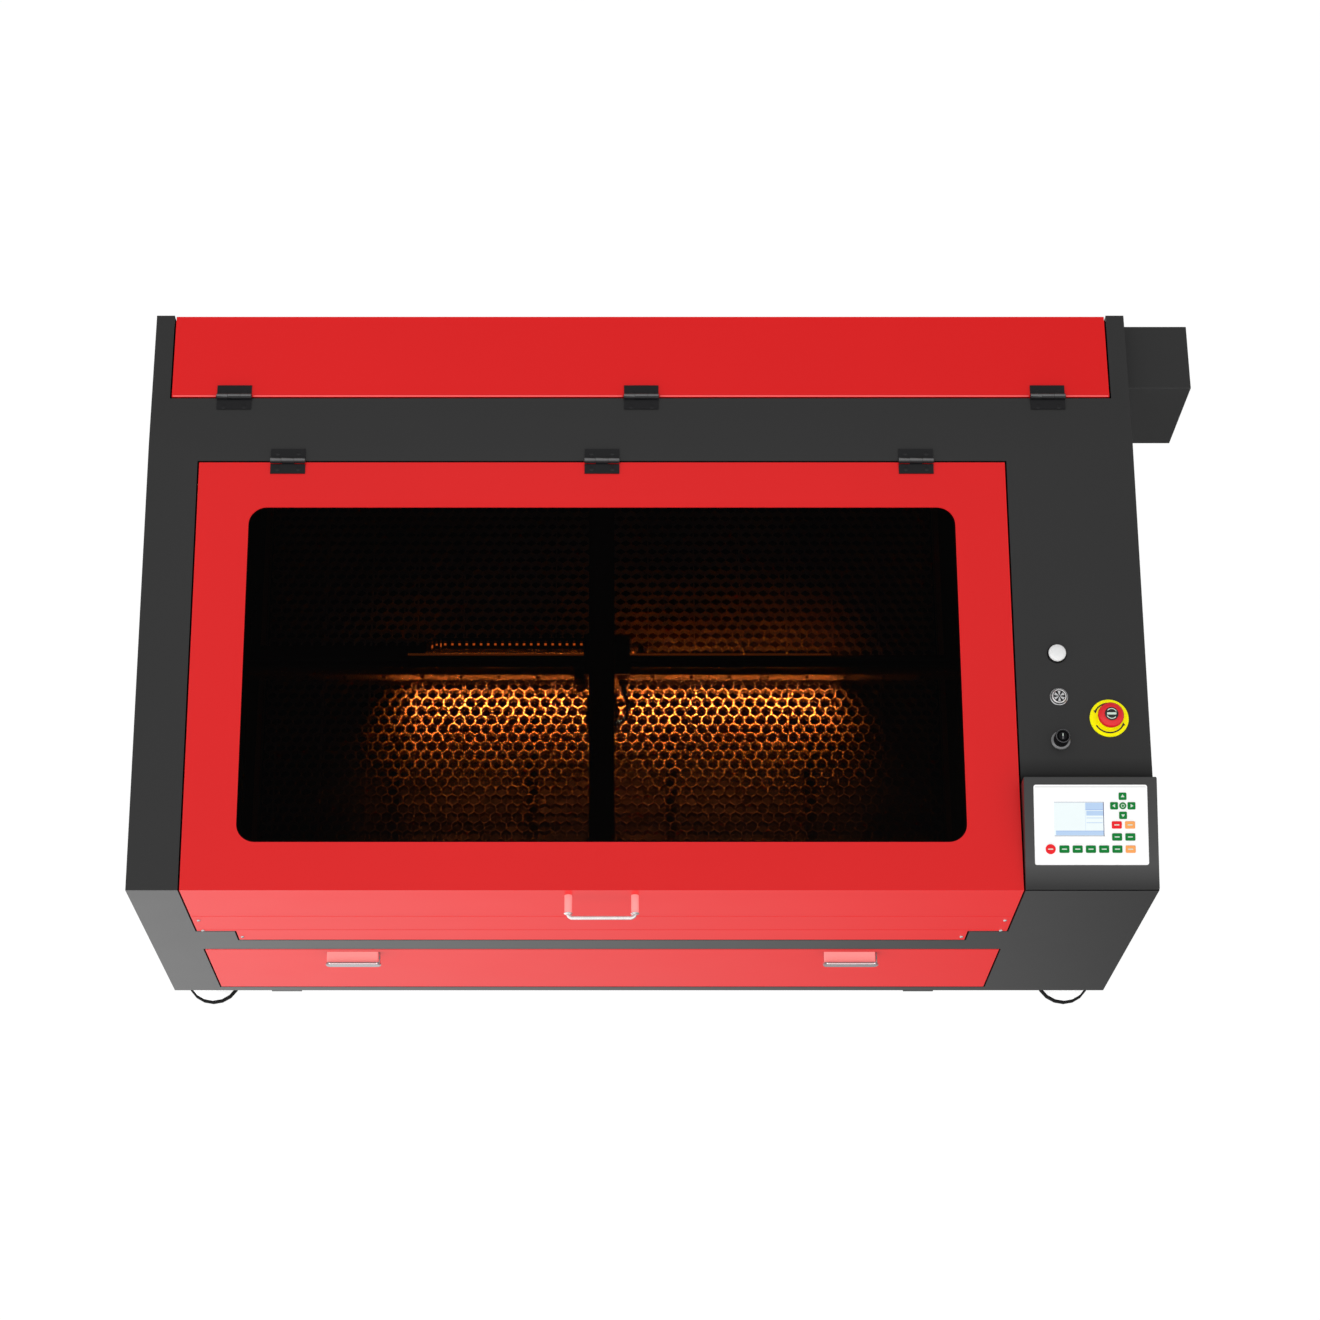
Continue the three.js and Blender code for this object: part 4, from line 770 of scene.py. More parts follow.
def display():
    """The lit display: a pale work area, two panes at the right and a status strip along the bottom."""
    white, pale, blue, frame_line = 0, 1, 2, 3
    x0, x1 = SCREEN_X
    s0, s1 = SCREEN_S
    floor = PANEL_FACE - 0.6 * MM
    bm = bmesh.new()
    plate(bm, [(x0, s0), (x1, s0), (x1, s1), (x0, s1)], floor, floor + 0.2 * MM, white)
    right = x1 - 0.37 * (x1 - x0)
    rise = 0.28 * MM

    def pane(a, b, c, d, colour):
        plate(bm, [(a, c), (b, c), (b, d), (a, d)], floor + 0.1 * MM, floor + rise, colour)

    tall = s1 - s0
    edge = 1.2 * MM
    pane(right, x1 - edge, s1 - 0.22 * tall, s1 - edge, pale)
    pane(right + MM, x1 - edge, s1 - 0.40 * tall, s1 - 0.26 * tall, pale)
    for i in range(2):
        top = s1 - (0.46 + 0.14 * i) * tall
        pane(right + MM, x1 - 2 * edge, top - 0.9 * MM, top, pale)
    pane(x0 + 2 * MM, x1 - edge, s0 + edge, s0 + 0.15 * tall, pale)
    pane(right - 0.5 * MM, right - 0.2 * MM, s0 + 0.17 * tall, s1 - edge, pale)
    pane(right, x1 - edge, s1 - 0.24 * tall, s1 - 0.22 * tall, blue)
    pane(x0 + 2 * MM, x1 - edge, s0 + 0.14 * tall, s0 + 0.16 * tall, blue)
    pane(x1 - edge, x1 - 0.2 * MM, s0, s1, frame_line)
    pane(x0, x1, s1 - 0.6 * MM, s1 - 0.1 * MM, frame_line)
    pane(x0, x1, s0 + 0.1 * MM, s0 + 0.7 * MM, frame_line)
    colours = [SCREEN_WHITE, SCREEN_PALE, SCREEN_BLUE, SCREEN_LINE]
    put("display_screen", bm, "cabinet", colours, PANEL, smooth=False)


SCREEN_LINE = plastic("screen_line", (0.11, 0.11, 0.22), 0.5, level=0.1)
keypad()
display()


def plate_groove():
    """The faint line along the plate's top edge."""
    bm = bmesh.new()
    margin = 2 * MM
    s0 = 140.6 * MM
    s1 = s0 + 0.8 * MM
    left, right = PANEL_LOW.x + margin, PANEL_HIGH.x - margin
    outline = [(left, s0), (right, s0), (right, s1), (left, s1)]
    plate(bm, outline, PANEL_FACE - 0.2 * MM, PANEL_FACE + 0.08 * MM)
    put("plate_groove", bm, "cabinet", GROOVE_GREY, PANEL, smooth=False)


GROOVE_GREY = plastic("groove_grey", (0.55, 0.55, 0.55), 0.5)
plate_groove()


# --- controls on the deck
def deck_place(node):
    """The deck's frame, moved to a control's axis."""
    centre = DECK.inverted() @ middle(node)
    return DECK @ Matrix.Translation((centre.x, centre.y, 0))


def arc_band(arc, outer, inner):
    """The outline of a band between two radii, in millimetres, along a list of angles."""
    outline = [(outer * MM * math.cos(a), outer * MM * math.sin(a)) for a in arc]
    return outline + [(inner * MM * math.cos(a), inner * MM * math.sin(a)) for a in reversed(arc)]


def emergency_stop():
    where = deck_place("estop_base")
    bm = bmesh.new()
    lathe(bm, mm([(0, -30), (10, -30), (10, 0.4), (27.2, 0.4), (27.2, 1.7), (26.4, 2.5), (16, 2.5),
                  (15, 3.9), (6.6, 4), (6.6, -7), (0, -7)]), 64)
    put("stop_ring", bm, "cabinet", YELLOW_PLASTIC_GLOW, where, hides=["estop_base"])
    bm = bmesh.new()
    for half in (0, math.pi):
        arc = [half + math.radians(a) for a in np.linspace(30, 150, 15)]
        plate(bm, arc_band(arc, 22.5, 20.5), 2.4 * MM, 2.62 * MM)
        end = arc[-1]
        head = [(21.5 + 3 * math.cos(k), 3 * math.sin(k)) for k in (0, 2.09, 4.19)]
        turned = Matrix.Rotation(end + 0.06, 4, "Z")
        plate(bm, mm(head), 2.4 * MM, 2.62 * MM, 0, turned)
    put("stop_ring_arrows", bm, "cabinet", INK_BLACK, where, smooth=False)
    bm = bmesh.new()
    cap = mm([(0, 0.3), (6, 0.3), (6, 9.2), (12, 9.4), (15.5, 10.6), (17.6, 13), (18.2, 16),
              (17.8, 18.6), (16.4, 20.8), (13.6, 22.4), (10.4, 23.1), (9.7, 23.0), (9.5, 22.7),
              (0, 22.7)])
    lathe(bm, cap, 64)
    put("stop_mushroom", bm, "estop", RED_PLASTIC, where, hides=["estop_button"])
    bm = bmesh.new()
    lathe(bm, mm([(0, 22), (9.4, 22), (9.4, 23.2), (8.8, 23.6), (0, 23.8)]), 40)
    put("stop_cap", bm, "estop", INK_BLACK, where)
    bm = bmesh.new()
    for turn in (0, math.pi):
        arc = [turn + math.radians(a) for a in np.linspace(25, 140, 12)]
        plate(bm, arc_band(arc, 7.7, 6.6), 23.4 * MM, 23.9 * MM)
    plate(bm, round_rect(0, 0, 13 * MM, 3.2 * MM, 0.8 * MM), 23.4 * MM, 23.95 * MM)
    put("stop_cap_marks", bm, "estop", WHITE_INK_AND_GLINT, where, smooth=False)


def round_button(node, body, cap_material, dome, prefix):
    """A bezel on the deck and a cap that travels in it."""
    where = deck_place(node)
    bm = bmesh.new()
    if dome:
        bezel = mm([(10.9, -12), (11.1, -12), (11.1, 0.3), (13.9, 0.3), (13.9, 1.4), (13.3, 2.0),
                    (12.8, 1.6), (12.7, 0.5), (10.9, 0.5), (10.9, -12)])
    else:
        bezel = mm([(11.1, -12), (11.1, 0.3), (13, 0.3), (13, 1.6), (12.3, 2.5), (11.5, 2.9),
                    (11.2, 2.4), (10.95, -12), (11.1, -12)])
    lathe(bm, bezel, 56, caps=False)
    put(f"{prefix}_bezel", bm, "cabinet", BARREL if dome else BEZEL, where)
    bm = bmesh.new()
    if dome:
        profile = mm([(0, -18), (8, -18), (8, 3.3), (12.2, 3.3), (12.3, 5.4), (11.6, 7.2), (9.8, 8.3),
                      (5, 8.9), (0, 9.0)])
    else:
        profile = mm([(0, -18), (8, -18), (8, 3.3), (10.5, 3.3), (10.7, 4.0), (10.3, 5.2), (9.6, 6.0),
                      (9.0, 6.3), (8.6, 5.9), (8.5, 4.9), (0, 4.9)])
    lathe(bm, profile, 56)
    put(f"{prefix}_cap", bm, body, cap_material, where, hides=[node])
    return where


def key_switch():
    where = deck_place("key_core")
    bm = bmesh.new()
    lathe(bm, mm([(0, -30), (10.8, -30), (10.8, 0.4), (13.4, 0.4), (13.4, 2.4), (12.4, 3.4),
                  (11.4, 3.8), (10.6, 4.4)]), 48)
    # A thin lighter grey ring round the barrel's face: a painted highlight on its chamfer.
    lathe(bm, mm([(8.9, 23.7), (9.7, 23.7), (9.6, 23.95), (9.0, 23.98),
                  (8.9, 23.7)]), 48, material=2, caps=False)
    lathe(bm, mm([(10.6, 4.3), (10.4, 5), (10.4, 22.2), (9.8, 23.6), (8.4, 23.9), (7.4, 23.4),
                  (7.3, 14.2), (0, 14.2)]), 48, material=1)
    put("key_barrel", bm, "cabinet", [RING_DARK, BARREL, RIM_GREY], where,
        hides=["key_switch"])
    bm = bmesh.new()
    lathe(bm, mm([(0, 14.9), (6.4, 14.9), (6.4, 22.6), (5.9, 23.3), (0, 23.4)]), 40)
    block(bm, (-1.1 * MM, -4.4 * MM, 23.3 * MM), (1.1 * MM, 4.4 * MM, 23.55 * MM), material=1)
    # The small white mark on the core's slot is a painted glint.
    block(bm, (-0.5 * MM, 0, 23.3 * MM), (0.5 * MM, 3.4 * MM, 23.75 * MM), material=2)
    put("key_core_face", bm, "key", [BARREL, RIM_GREY, WHITE_INK_AND_GLINT], where,
        hides=["key_core"])


BEZEL = metal("bezel_steel", (0.62, 0.62, 0.63), 0.2, (1, 1, 8))
RING_DARK = metal("ring_dark", (0.24, 0.24, 0.245), 0.3, bright=0.6)
BARREL = plastic("barrel_black", (0.006, 0.006, 0.007), 0.35, level=0.12)
RIM_GREY = plastic("rim_grey", (0.10, 0.10, 0.105), 0.3, level=0.3)
emergency_stop()
round_button("light_button", "light_button", DOME_WHITE, True, "light")
laser_where = round_button("laser_button", "laser_button", CHROME, False, "laser")


def laser_button_marks():
    """The pressed star on the metal button: a dark dish with six bright wedges."""
    bm = bmesh.new()
    plate(bm, circle(0, 0, 8.5 * MM, 40), 4.7 * MM, 5.0 * MM, 1)
    for i in range(6):
        turn = Matrix.Rotation(math.pi / 3 * (i + 0.5), 4, "Z")
        plate(bm, mm([(1.2, -0.3), (7.4, -2.0), (7.4, 2.0), (1.2, 0.3)]), 4.8 * MM, 5.3 * MM, 0, turn)
    put("laser_button_star", bm, "laser_button", [STAR_BRIGHT, INK_BLACK], laser_where,
        smooth=False)


STAR_BRIGHT = metal("star_bright", (0.80, 0.80, 0.81), 0.2, bright=0.5)
laser_button_marks()
key_switch()


# --- apron screws and folds
def button_screws(name, body, points, axis_turn, r=3.4 * MM, material=None):
    """Dome-headed screws with a hexagon recess, each a point on the face and an outward turn."""
    bm = bmesh.new()
    recess = r * 0.42
    dome = [(r, -0.2 * MM), (r, 0.35 * r), (r * 0.82, 0.6 * r), (r * 0.5, 0.72 * r)]
    socket = [(recess, 0.74 * r), (recess, 0.3 * r), (0, 0.3 * r)]
    for point in points:
        lathe(bm, dome + socket, 18, Matrix.Translation(point) @ axis_turn)
    put(name, bm, body, material or STEEL)


TO_FRONT = Matrix.Rotation(math.radians(90), 4, "X")
TO_RIGHT = Matrix.Rotation(math.radians(90), 4, "Y")
APRON_INSETS = mm([(9, 139), (9, 188), (62, 219)])
apron_points = []
for inset, drop in APRON_INSETS:
    apron_points.append((LID_LOW.x + inset, FRONT_Y, EDGE_Z - drop))
    apron_points.append((LID_HIGH.x - inset, FRONT_Y, EDGE_Z - drop))
button_screws("apron_screws", "lid", apron_points, TO_FRONT, 2.6 * MM)


def apron_strip():
    """The lower apron is a second thickness, folded over: two faint steps across the front."""
    bm = bmesh.new()
    thick = 0.25 * MM
    side = 1.5 * MM
    for drop, tall in ((121 * MM, 0.5 * MM), (186 * MM, 0.5 * MM)):
        block(bm, (LID_LOW.x + side, FRONT_Y - thick, EDGE_Z - drop - tall),
              (LID_HIGH.x - side, FRONT_Y + 0.2 * MM, EDGE_Z - drop), 0.2 * MM, 1)
    put("apron_folds", bm, "lid", RED)


apron_strip()


def opening_lips():
    """The front frame's folded lips, which close the view through the slots round the apron and the flap."""
    bm = bmesh.new()
    left, right = LID_LOW.x + 4 * MM, LID_HIGH.x - 4 * MM
    front = FRONT_Y + 22 * MM
    back = front + 1.2 * MM
    for z, drop in ((FLAP_HIGH.z, 10 * MM), (LID_LOW.z, 10 * MM), (FLAP_LOW.z, 4 * MM)):
        block(bm, (left, front, z - drop), (right, back, z + 8 * MM), 0.3 * MM)
    put("opening_lips", bm, "cabinet", CHAMBER)


opening_lips()


# --- handle and pulls
def lid_handle():
    """Two round stand-offs and a thin chrome bow bent between them. The stand-offs carry a glowing painted
    reflection of the red apron, and the collars and bow are chrome tinted warm, a painted reflection of the
    apron too.
    """
    low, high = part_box("lid_handle")
    leg_r = 5.2 * MM
    bow_r = 2.9 * MM
    bend = 6 * MM
    left, right = low.x + 8 * MM, high.x - 8 * MM
    front, back, z = low.y, high.y, (low.z + high.z) / 2 - 2 * MM
    leg = back - front - bend - 4 * MM
    collar = [(leg_r + r, leg + h) for r, h in mm([(-0.4, -0.2), (0.8, 0.3), (0.8, 1.3), (-0.3, 2.2)])]
    bm = bmesh.new()
    for x in (left, right):
        where = Matrix.Translation((x, back, z)) @ TO_FRONT
        lathe(bm, [(leg_r, -0.2 * MM), (leg_r, leg)], 40, where, material=1)
        lathe(bm, [*collar, (bow_r, leg + 2.6 * MM)], 40, where)
    y = front + bow_r
    path = [(left, back - leg, z)]
    for x, start in ((left + bend, 0), (right - bend, 1)):
        for i in range(9):
            angle = math.pi / 2 * (i / 8 + start)
            path.append((x - bend * math.cos(angle), y + bend - bend * math.sin(angle), z))
    path.append((right, back - leg, z))
    sweep(bm, path, bow_r, 24, 0)
    put("handle_bow", bm, "lid", [WARM_CHROME, RED_REFLECTION_GLOW], hides=["lid_handle"])


def flap_pull(side):
    """A pressed cup: a flat top that rolls over into a rounded lip. The top carries a glowing painted
    reflection of the red flap, and a glowing painted highlight runs along the lip's top edge.
    """
    node = f"flap_pull_{side}"
    low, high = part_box(node)
    x0, x1 = low.x, high.x
    top, front, back = high.z - 0.5 * MM, low.y, high.y
    tall = high.z - low.z - 4 * MM
    r = tall / 2 - 0.6 * MM
    roll = 3.2 * MM
    bm = bmesh.new()
    lip = round_rect((x0 + x1) / 2, -tall / 2, x1 - x0, tall, r, 8)
    lift = Matrix.Translation((0, front, top)) @ Matrix.Rotation(math.radians(90), 4, "X")
    plate(bm, lip, -3.4 * MM, -0.9 * MM, 0, lift)
    inner = round_rect((x0 + x1) / 2, -tall / 2, x1 - x0 - 2 * MM, tall - 2 * MM, r - MM, 8)
    plate(bm, inner, -1.2 * MM, 0, 0, lift)
    drop = 5.5 * MM  # the top slopes down to the lip
    rear = top - 4 * MM
    thick = 2.2 * MM
    fold = front + roll
    section = [(fold, top - drop), (back, rear), (back, rear - thick), (fold, top - drop - thick)]
    inset = 1.6 * MM
    verts = []
    for x in (x0 + inset, x1 - 5 * MM):
        verts.append([bm.verts.new((x, y, z)) for y, z in section])
    bm.faces.new(verts[0])
    bm.faces.new(list(reversed(verts[1])))
    for i in range(4):
        j = (i + 1) % 4
        bm.faces.new((verts[0][i], verts[1][i], verts[1][j], verts[0][j])).material_index = 1
    for x in (x0 + inset, x1 - inset - 2 * MM):
        block(bm, (x, fold, low.z + 5 * MM), (x + 2 * MM, back, top - drop), 0.4 * MM)
    y, z = front + 1.4 * MM, top - 0.9 * MM
    sweep(bm, [(x0 + 5 * MM, y, z), (x1 - 5 * MM, y, z)], 0.9 * MM, 12, 2)
    pull = put(f"pull_{side}", bm, "flap", [LIP_CHROME, RED_REFLECTION_GLOW, EDGE_HIGHLIGHT_GLOW],
               hides=[node])
    pull.visible_glossy = False


lid_handle()
flap_pull("left")
flap_pull("right")


# --- gantry
BEAM_BOTTOM = BEAM_LOW.z + 3 * MM
BEAM_FACE = BEAM_LOW.y + 44 * MM  # the profile's front face
BEAM_TOP = BEAM_BOTTOM + 46 * MM
BEAM_BACK = BEAM_FACE + 19 * MM
RAIL_FACE = BEAM_FACE - 6 * MM
STRIP_HALF = 302 * MM
STRIP_X = LID_X + 25 * MM
WARM = (1.0, 0.60, 0.30)


def gantry_detail():
    """Rail bolts, grooves along the rail and belts in the beam's slot."""
    rail_z = BEAM_BOTTOM + 24 * MM
    left = BEAM_LOW.x + 80 * MM
    right = BEAM_HIGH.x - 50 * MM
    pitch = 55 * MM
    points = []
    x = LID_X - 10 * pitch + 18 * MM
    while x < right:
        if x > left:
            points.append((x, RAIL_FACE, rail_z))
        x += pitch
    button_screws("rail_bolts", "gantry", points, TO_FRONT, 3.0 * MM, INK_BLACK)
    bm = bmesh.new()
    for z in (rail_z - 9.5 * MM, rail_z + 6.4 * MM):
        block(bm, (left, RAIL_FACE - 0.3 * MM, z), (right, RAIL_FACE + 0.2 * MM, z + 1.1 * MM))
    put("rail_grooves", bm, "gantry", STEEL)
    bm = bmesh.new()
    middle_y = (BEAM_FACE + BEAM_BACK) / 2
    y0, y1 = middle_y - 2.5 * MM, middle_y + 2.5 * MM
    for z in (BEAM_TOP - 8 * MM, BEAM_TOP - 22 * MM):
        block(bm, (left - 20 * MM, y0, z), (right + 10 * MM, y1, z + 1.3 * MM))
    put("cross_belt", bm, "gantry", RUBBER)


def bare_rail():
    """The guide rail on the beam's front is bare steel."""
    for face in NODES["gantry_beam"].data.polygons:
        x, y, z = face.center
        inside = BEAM_LOW.x + 60 * MM < x < BEAM_HIGH.x - 40 * MM
        if inside and y < BEAM_FACE - MM and BEAM_BOTTOM + 10 * MM < z < BEAM_BOTTOM + 36 * MM:
            face.material_index = 1


def light_strips():
    """Warm strips under the beam's front edge and along its back edge, with the light they give."""
    left, right = STRIP_X - STRIP_HALF, STRIP_X + STRIP_HALF
    bm = bmesh.new()
    y, z = BEAM_FACE, BEAM_BOTTOM
    block(bm, (left, y + 2 * MM, z - 2.2 * MM), (right, y + 12 * MM, z - 0.1 * MM), 0.3 * MM)
    y, z = BEAM_BACK, BEAM_TOP
    block(bm, (left, y, z - 12 * MM), (right, y + 2.4 * MM, z - 0.5 * MM), 0.3 * MM, 2, 2)
    count = 36
    for i in range(count):
        x = left + (i + 0.5) * (right - left) / count
        near(bm, (x, BEAM_FACE, BEAM_BOTTOM), (-2.5, 4.5, -3.0), (2.5, 9.5, -2.0), material=1)
        near(bm, (x, BEAM_BACK, BEAM_TOP), (-2.5, 1.9, -9.5), (2.5, 2.6, -4.5), material=1)
    put("light_strip", bm, "gantry", [WHITE_PLASTIC, LED, LIT_EDGE], smooth=False)
    strip_lamp("strip_light", BEAM_FACE, BEAM_BOTTOM, (-3, 2), (-34, -44), FRONT_STRIP, 6 * MM)
    strip_lamp("back_light", BEAM_BACK, BEAM_TOP, (4, -8), (16, -60), BACK_STRIP, 5 * MM)
    strip_lamp("rail_light", RAIL_FACE, BEAM_BOTTOM, (-20, -26), (0, 24), RAIL_STRIP, 4 * MM, 1.1, 180)


def strip_lamp(name, y, z, place, target, power, tall, stretch=1.0, spread=105):
    """A hidden lamp along the gantry: place and target are millimetres back and up from (y, z)."""
    points = [(STRIP_X, y + back * MM, z + up * MM) for back, up in (place, target)]
    lamp = area_light(name, *points, 2 * STRIP_HALF * stretch, power, WARM, False, tall, spread)
    lamp.visible_camera = False
    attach(lamp, "gantry")


FRONT_STRIP = 46.0
BACK_STRIP = 2.6
RAIL_STRIP = 2.0
gantry_detail()
bare_rail()
light_strips()


# --- drag chain
CHAIN_LOW, CHAIN_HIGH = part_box("drag_chain")
CHAIN_TALL = CHAIN_HIGH.z - CHAIN_LOW.z
CHAIN_THICK = 17 * MM
CHAIN_R = (CHAIN_TALL - CHAIN_THICK) / 2
CHAIN_BEND = CHAIN_LOW.x + CHAIN_TALL / 2
CHAIN_MOVING_END = LID_X - 14 * MM
CHAIN_PITCH = 10.4 * MM


def chain_link(bm, where):
    """One link, centred on its frame: cheeks with a lap joint, slotted covers, and the cable inside, which
    glows as painted light from the strip lamp.
    """
    w = (CHAIN_HIGH.y - CHAIN_LOW.y) / 2
    h = CHAIN_THICK / 2
    half = CHAIN_PITCH / 2
    cheek = 2.2 * MM
    for side in (-1, 1):
        low = min(side * w, side * (w - cheek))
        block(bm, (-half - 0.8 * MM, low, -h), (half - 1.2 * MM, low + cheek, h), 0.7 * MM, 1, 0, where)
        low = min(side * (w - 2.0 * MM), side * (w - 3.6 * MM))
        block(bm, (half - 3.0 * MM, low, -h + 1.4 * MM), (half + 1.6 * MM, low + 1.6 * MM, h - 1.4 * MM),
              0.4 * MM, 1, 0, where)
    slot = 1.7 * MM
    for z in (-h + 0.9 * MM, h - 0.9 * MM):
        for x0, x1 in ((-half, -slot), (slot, half)):
            block(bm, (x0, -w + MM, z - 0.8 * MM), (x1, w - MM, z + 0.8 * MM), 0, 1, 0, where)
        for side in (-1, 1):
            low, high = sorted((side * (w - MM), side * 3.2 * MM))
            reach = slot + 0.2 * MM
            block(bm, (-reach, low, z - 0.7 * MM), (reach, high, z + 0.7 * MM), 0, 1, 0, where)
    a = where @ Vector((-half, 0, 0))
    b = where @ Vector((half, 0, 0))
    sweep(bm, [a, b], 3.4 * MM, 8, 1, caps=False)


def strand(name, x0, x1, z):
    """A straight run of links."""
    count = max(1, round(abs(x1 - x0) / CHAIN_PITCH))
    y = (CHAIN_LOW.y + CHAIN_HIGH.y) / 2
    bm = bmesh.new()
    for i in range(count):
        x = x0 + (x1 - x0) * (i + 0.5) / count
        chain_link(bm, Matrix.Translation((x, y, z)))
    piece = put(name, bm, None, [BLACK_PLASTIC, CABLE_PAINTED_GLOW], hides=[])
    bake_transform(piece)
    return piece


def drag_chain():
    y = (CHAIN_LOW.y + CHAIN_HIGH.y) / 2
    low_z = CHAIN_LOW.z + CHAIN_THICK / 2
    high_z = CHAIN_HIGH.z - CHAIN_THICK / 2
    fixed = CHAIN_HIGH.x
    lower = strand("chain_lower", CHAIN_BEND, fixed, low_z)
    upper = strand("chain_upper", CHAIN_BEND, CHAIN_MOVING_END, high_z)
    bm = bmesh.new()
    count = 5
    for i in range(count):
        angle = math.pi / 2 + math.pi * (i + 0.5) / count
        turn = Matrix.Translation((CHAIN_BEND, y, (low_z + high_z) / 2)) @ Matrix.Rotation(-angle, 4, "Y")
        chain_link(bm, turn @ Matrix.Translation((CHAIN_R, 0, 0)) @ Matrix.Rotation(math.pi / 2, 4, "Y"))
    bend = put("chain_bend", bm, None, [BLACK_PLASTIC, CABLE_PAINTED_GLOW])
    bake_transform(bend)
    for piece in (lower, upper, bend):
        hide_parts("drag_chain")


# The cable glows: painted light from the strip lamp, seen through the chain's slots.
CABLE_PAINTED_GLOW = glowing("cable_painted_glow", (1.0, 0.50, 0.26), 4.0, (0.5, 0.45, 0.4))
drag_chain()


# --- laser head
def head_detail():
    """Screws and bearing blocks on the carriage, and the bracket that holds the chain's moving end."""
    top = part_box("head_carriage")[1].z
    plate_y = RAIL_FACE - 8 * MM
    places = mm([(-33, 8), (-33, 37), (33, 8), (33, 37)])
    points = [(LID_X + dx, plate_y, BEAM_BOTTOM + dz) for dx, dz in places]
    button_screws("carriage_screws", "head", points, TO_FRONT, 2.6 * MM)
    bm = bmesh.new()
    for side in (-1, 1):
        base = (LID_X + side * 31 * MM, plate_y, BEAM_BOTTOM)
        near(bm, base, (-7, -9, 12), (7, 0, 34), 1.2 * MM)
        near(bm, base, (-4, -15, 8), (4, -8, 24), 1.0 * MM)
    # The bearing blocks are light satin alloy in place of their black anodising: painted light from the strip
    # lamp below.
    put("carriage_blocks", bm, "head", ALLOY)
    bm = bmesh.new()
    y = (CHAIN_LOW.y + CHAIN_HIGH.y) / 2
    z = CHAIN_HIGH.z
    x = CHAIN_MOVING_END
    block(bm, (x - 6 * MM, y - 11 * MM, z - CHAIN_THICK), (x + 4 * MM, y + 11 * MM, z), 1.0 * MM)
    block(bm, (x - 2 * MM, y - 9 * MM, top - 2 * MM), (LID_X + 30 * MM, y + 9 * MM, top), 0.5 * MM)
    put("chain_bracket", bm, "head", ANODISED)


def air_hose():
    """The blue air fitting on the nozzle and the hose that climbs from it over the carriage."""
    cx, cy = middle("lens_tube").x, middle("lens_tube").y
    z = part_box("lens_tube")[0].z + 10 * MM
    bm = bmesh.new()
    where = Matrix.Translation((cx + 8 * MM, cy, z)) @ TO_RIGHT
    lathe(bm, mm([(3.0, 0), (3.0, 8), (4.6, 8), (4.6, 13), (3.2, 13)]), 24, where)
    lathe(bm, mm([(4.8, 13), (5.2, 13.6), (5.2, 17), (4.6, 18), (3.2, 18)]), 24, where, material=1)
    put("air_fitting", bm, "lens", [BRASS, BLUE_PLASTIC])
    bm = bmesh.new()
    start = Vector((cx + 24 * MM, cy, z))
    end = Vector((LID_X + 30 * MM, BEAM_FACE - 26 * MM, BEAM_TOP - 6 * MM))
    path = []
    for i in range(17):
        t = i / 16
        out = math.sin(math.pi * min(1.0, t * 1.4) / 2)
        path.append((start.x + 10 * MM * math.sin(math.pi * t) + (end.x - start.x) * t,
                     start.y + (end.y - start.y) * t * t,
                     start.z + (end.z - start.z) * t * out))
    sweep(bm, path, 3.0 * MM, 14)
    hose = put("air_hose", bm, None, BLUE_PLASTIC)
    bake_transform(hose)


head_detail()
air_hose()


# --- inside the laser tube
def tube_core():
    """The discharge bore in its water jacket, with the metal electrodes and end mirrors."""
    low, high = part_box("laser_tube")
    axis_y, axis_z = (low.y + high.y) / 2, (low.z + high.z) / 2
    bm = bmesh.new()

    def run(x0, x1, r, material):
        sweep(bm, [(x0, axis_y, axis_z), (x1, axis_y, axis_z)], r, 32, material)

    run(low.x + 90 * MM, high.x - 90 * MM, 8 * MM, 0)
    run(low.x + 110 * MM, high.x - 110 * MM, 16 * MM, 0)
    for x, way in ((low.x, 1), (high.x, -1)):
        run(x + way * 44 * MM, x + way * 88 * MM, 22 * MM, 1)
        run(x + way * 34 * MM, x + way * 43 * MM, 12 * MM, 2)
    put("tube_core", bm, "cabinet", [GLASS, ALLOY, BRASS])


tube_core()


# --- bed slats
def bed_slats():
    """Knife blades that carry the honeycomb, front to back."""
    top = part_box("bed_frame")[1].z
    pitch = 68 * MM
    bm = bmesh.new()
    front, back = BED_LOW.y + 25 * MM, BED_HIGH.y - 25 * MM
    for i in range(-6, 7):
        x = LID_X + i * pitch
        block(bm, (x - 0.8 * MM, front, top - 22 * MM), (x + 0.8 * MM, back, top))
    put("knife_slats", bm, "bed", BED_ALLOY, smooth=False)


bed_slats()


# --- stage, lights and camera
def stage_floor():
    """A pale floor that glows a little, so that it stays white round the machine."""
    n = Nodes("studio_floor")
    shader = n.principled(Roughness=0.8)
    shader.inputs["Specular IOR Level"].default_value = 0.0
    n.join(n.ramp(n.noise(2.0), greys((0.3, 0.02), (0.7, 0.03))), shader.inputs["Base Color"])
    shader.inputs["Emission Color"].default_value = rgb(1, 1, 1)
    shader.inputs["Emission Strength"].default_value = 1.0
    mesh = bpy.data.meshes.new("studio_floor")
    half = 30.0
    corners = [(-half, -half, 0), (half, -half, 0), (half, half, 0), (-half, half, 0)]
    mesh.from_pydata(corners, [], [(0, 1, 2, 3)])
    floor = bpy.data.objects.new("studio_floor", mesh)
    mesh.materials.append(n.owner)
    bpy.context.scene.collection.objects.link(floor)
    floor.visible_glossy = False


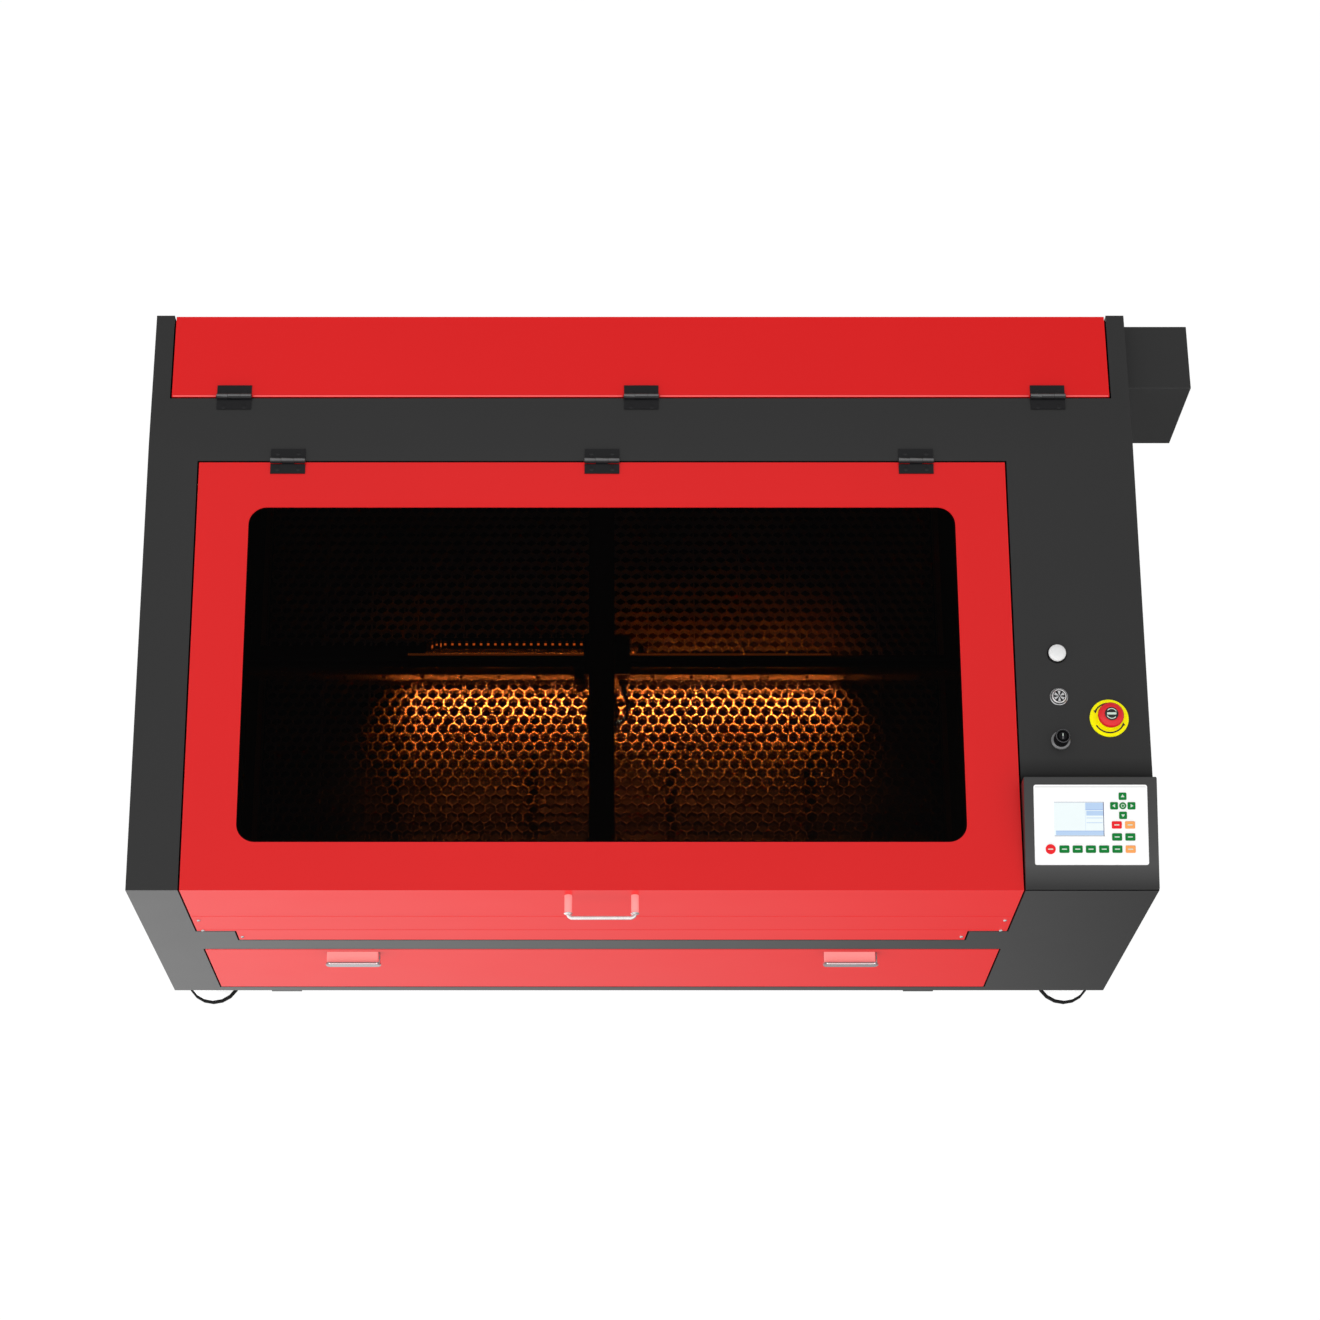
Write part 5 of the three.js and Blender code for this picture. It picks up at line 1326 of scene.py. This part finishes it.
def studio_world():
    """White round the horizon and above the front, dark above the back, and brighter below on the left."""
    n = Nodes("studio", world=True)
    bpy.context.scene.world = n.owner
    x, y, z = n.split(n.add("TexCoord").outputs["Generated"])
    overhead = n.span(y, -0.25, 0.25, WORLD_FRONT, WORLD_BACK, "SMOOTHSTEP")
    horizon = n.span(z, 0.05, 0.45, 1.0, 0.0, "SMOOTHSTEP")
    upper = n.maths("MAXIMUM", overhead, horizon)
    lower = n.span(x, -0.20, 0.20, WORLD_LOW_LEFT, WORLD_LOW_RIGHT)
    above = n.span(z, -0.20, -0.08, 0.0, 1.0, "SMOOTHSTEP")
    below = n.maths("SUBTRACT", 1.0, above)
    both = n.maths("ADD", n.maths("MULTIPLY", upper, above), n.maths("MULTIPLY", lower, below))
    back = n.add("Background", {"Color": rgb(1, 1, 1)})
    n.join(both, back.inputs["Strength"])
    n.join(back.outputs["Background"], n.out.inputs["Surface"])


def studio_camera():
    """The view: in front of the machine and high above it, looking steeply down."""
    data = bpy.data.cameras.new("camera")
    data.sensor_width = 36.0
    data.lens = CAMERA_LENS
    data.shift_x = CAMERA_SHIFT
    data.clip_end = 100.0
    camera = bpy.data.objects.new("camera", data)
    bpy.context.scene.collection.objects.link(camera)
    dx, dy, dz = CAMERA_PLACE
    camera.location = ((BODY_LEFT + BODY_RIGHT) / 2 + dx, FRONT_Y + dy, EDGE_Z + dz)
    camera.rotation_euler = (math.radians(90 - CAMERA_DOWN), 0, 0)
    bpy.context.scene.camera = camera


CAMERA_LENS = 81.17
CAMERA_SHIFT = 0.0380
CAMERA_PLACE = (-0.04463, -1.24011, 3.90608)  # metres from the middle of the front top edge
CAMERA_DOWN = 67.962  # degrees below the horizon
WORLD_FRONT = 1.0
WORLD_BACK = 0.35
WORLD_LOW_LEFT = 1.12
WORLD_LOW_RIGHT = 0.07
stage_floor()
studio_world()
area_light("overhead", (-0.5, 0.2, 4.0), (0, 0, 0.5), size=4.0, power=44.0, glossy=False)
area_light("front_fill", (-0.8, -5.0, 1.6), (0, -0.4, 0.3), size=3.0, power=72.0, glossy=False)
area_light("left_side", (-4.0, -2.5, 1.6), (0, 0, 0.3), size=2.5, power=25.0, glossy=False)
studio_camera()
bpy.context.scene.view_settings.view_transform = "Standard"
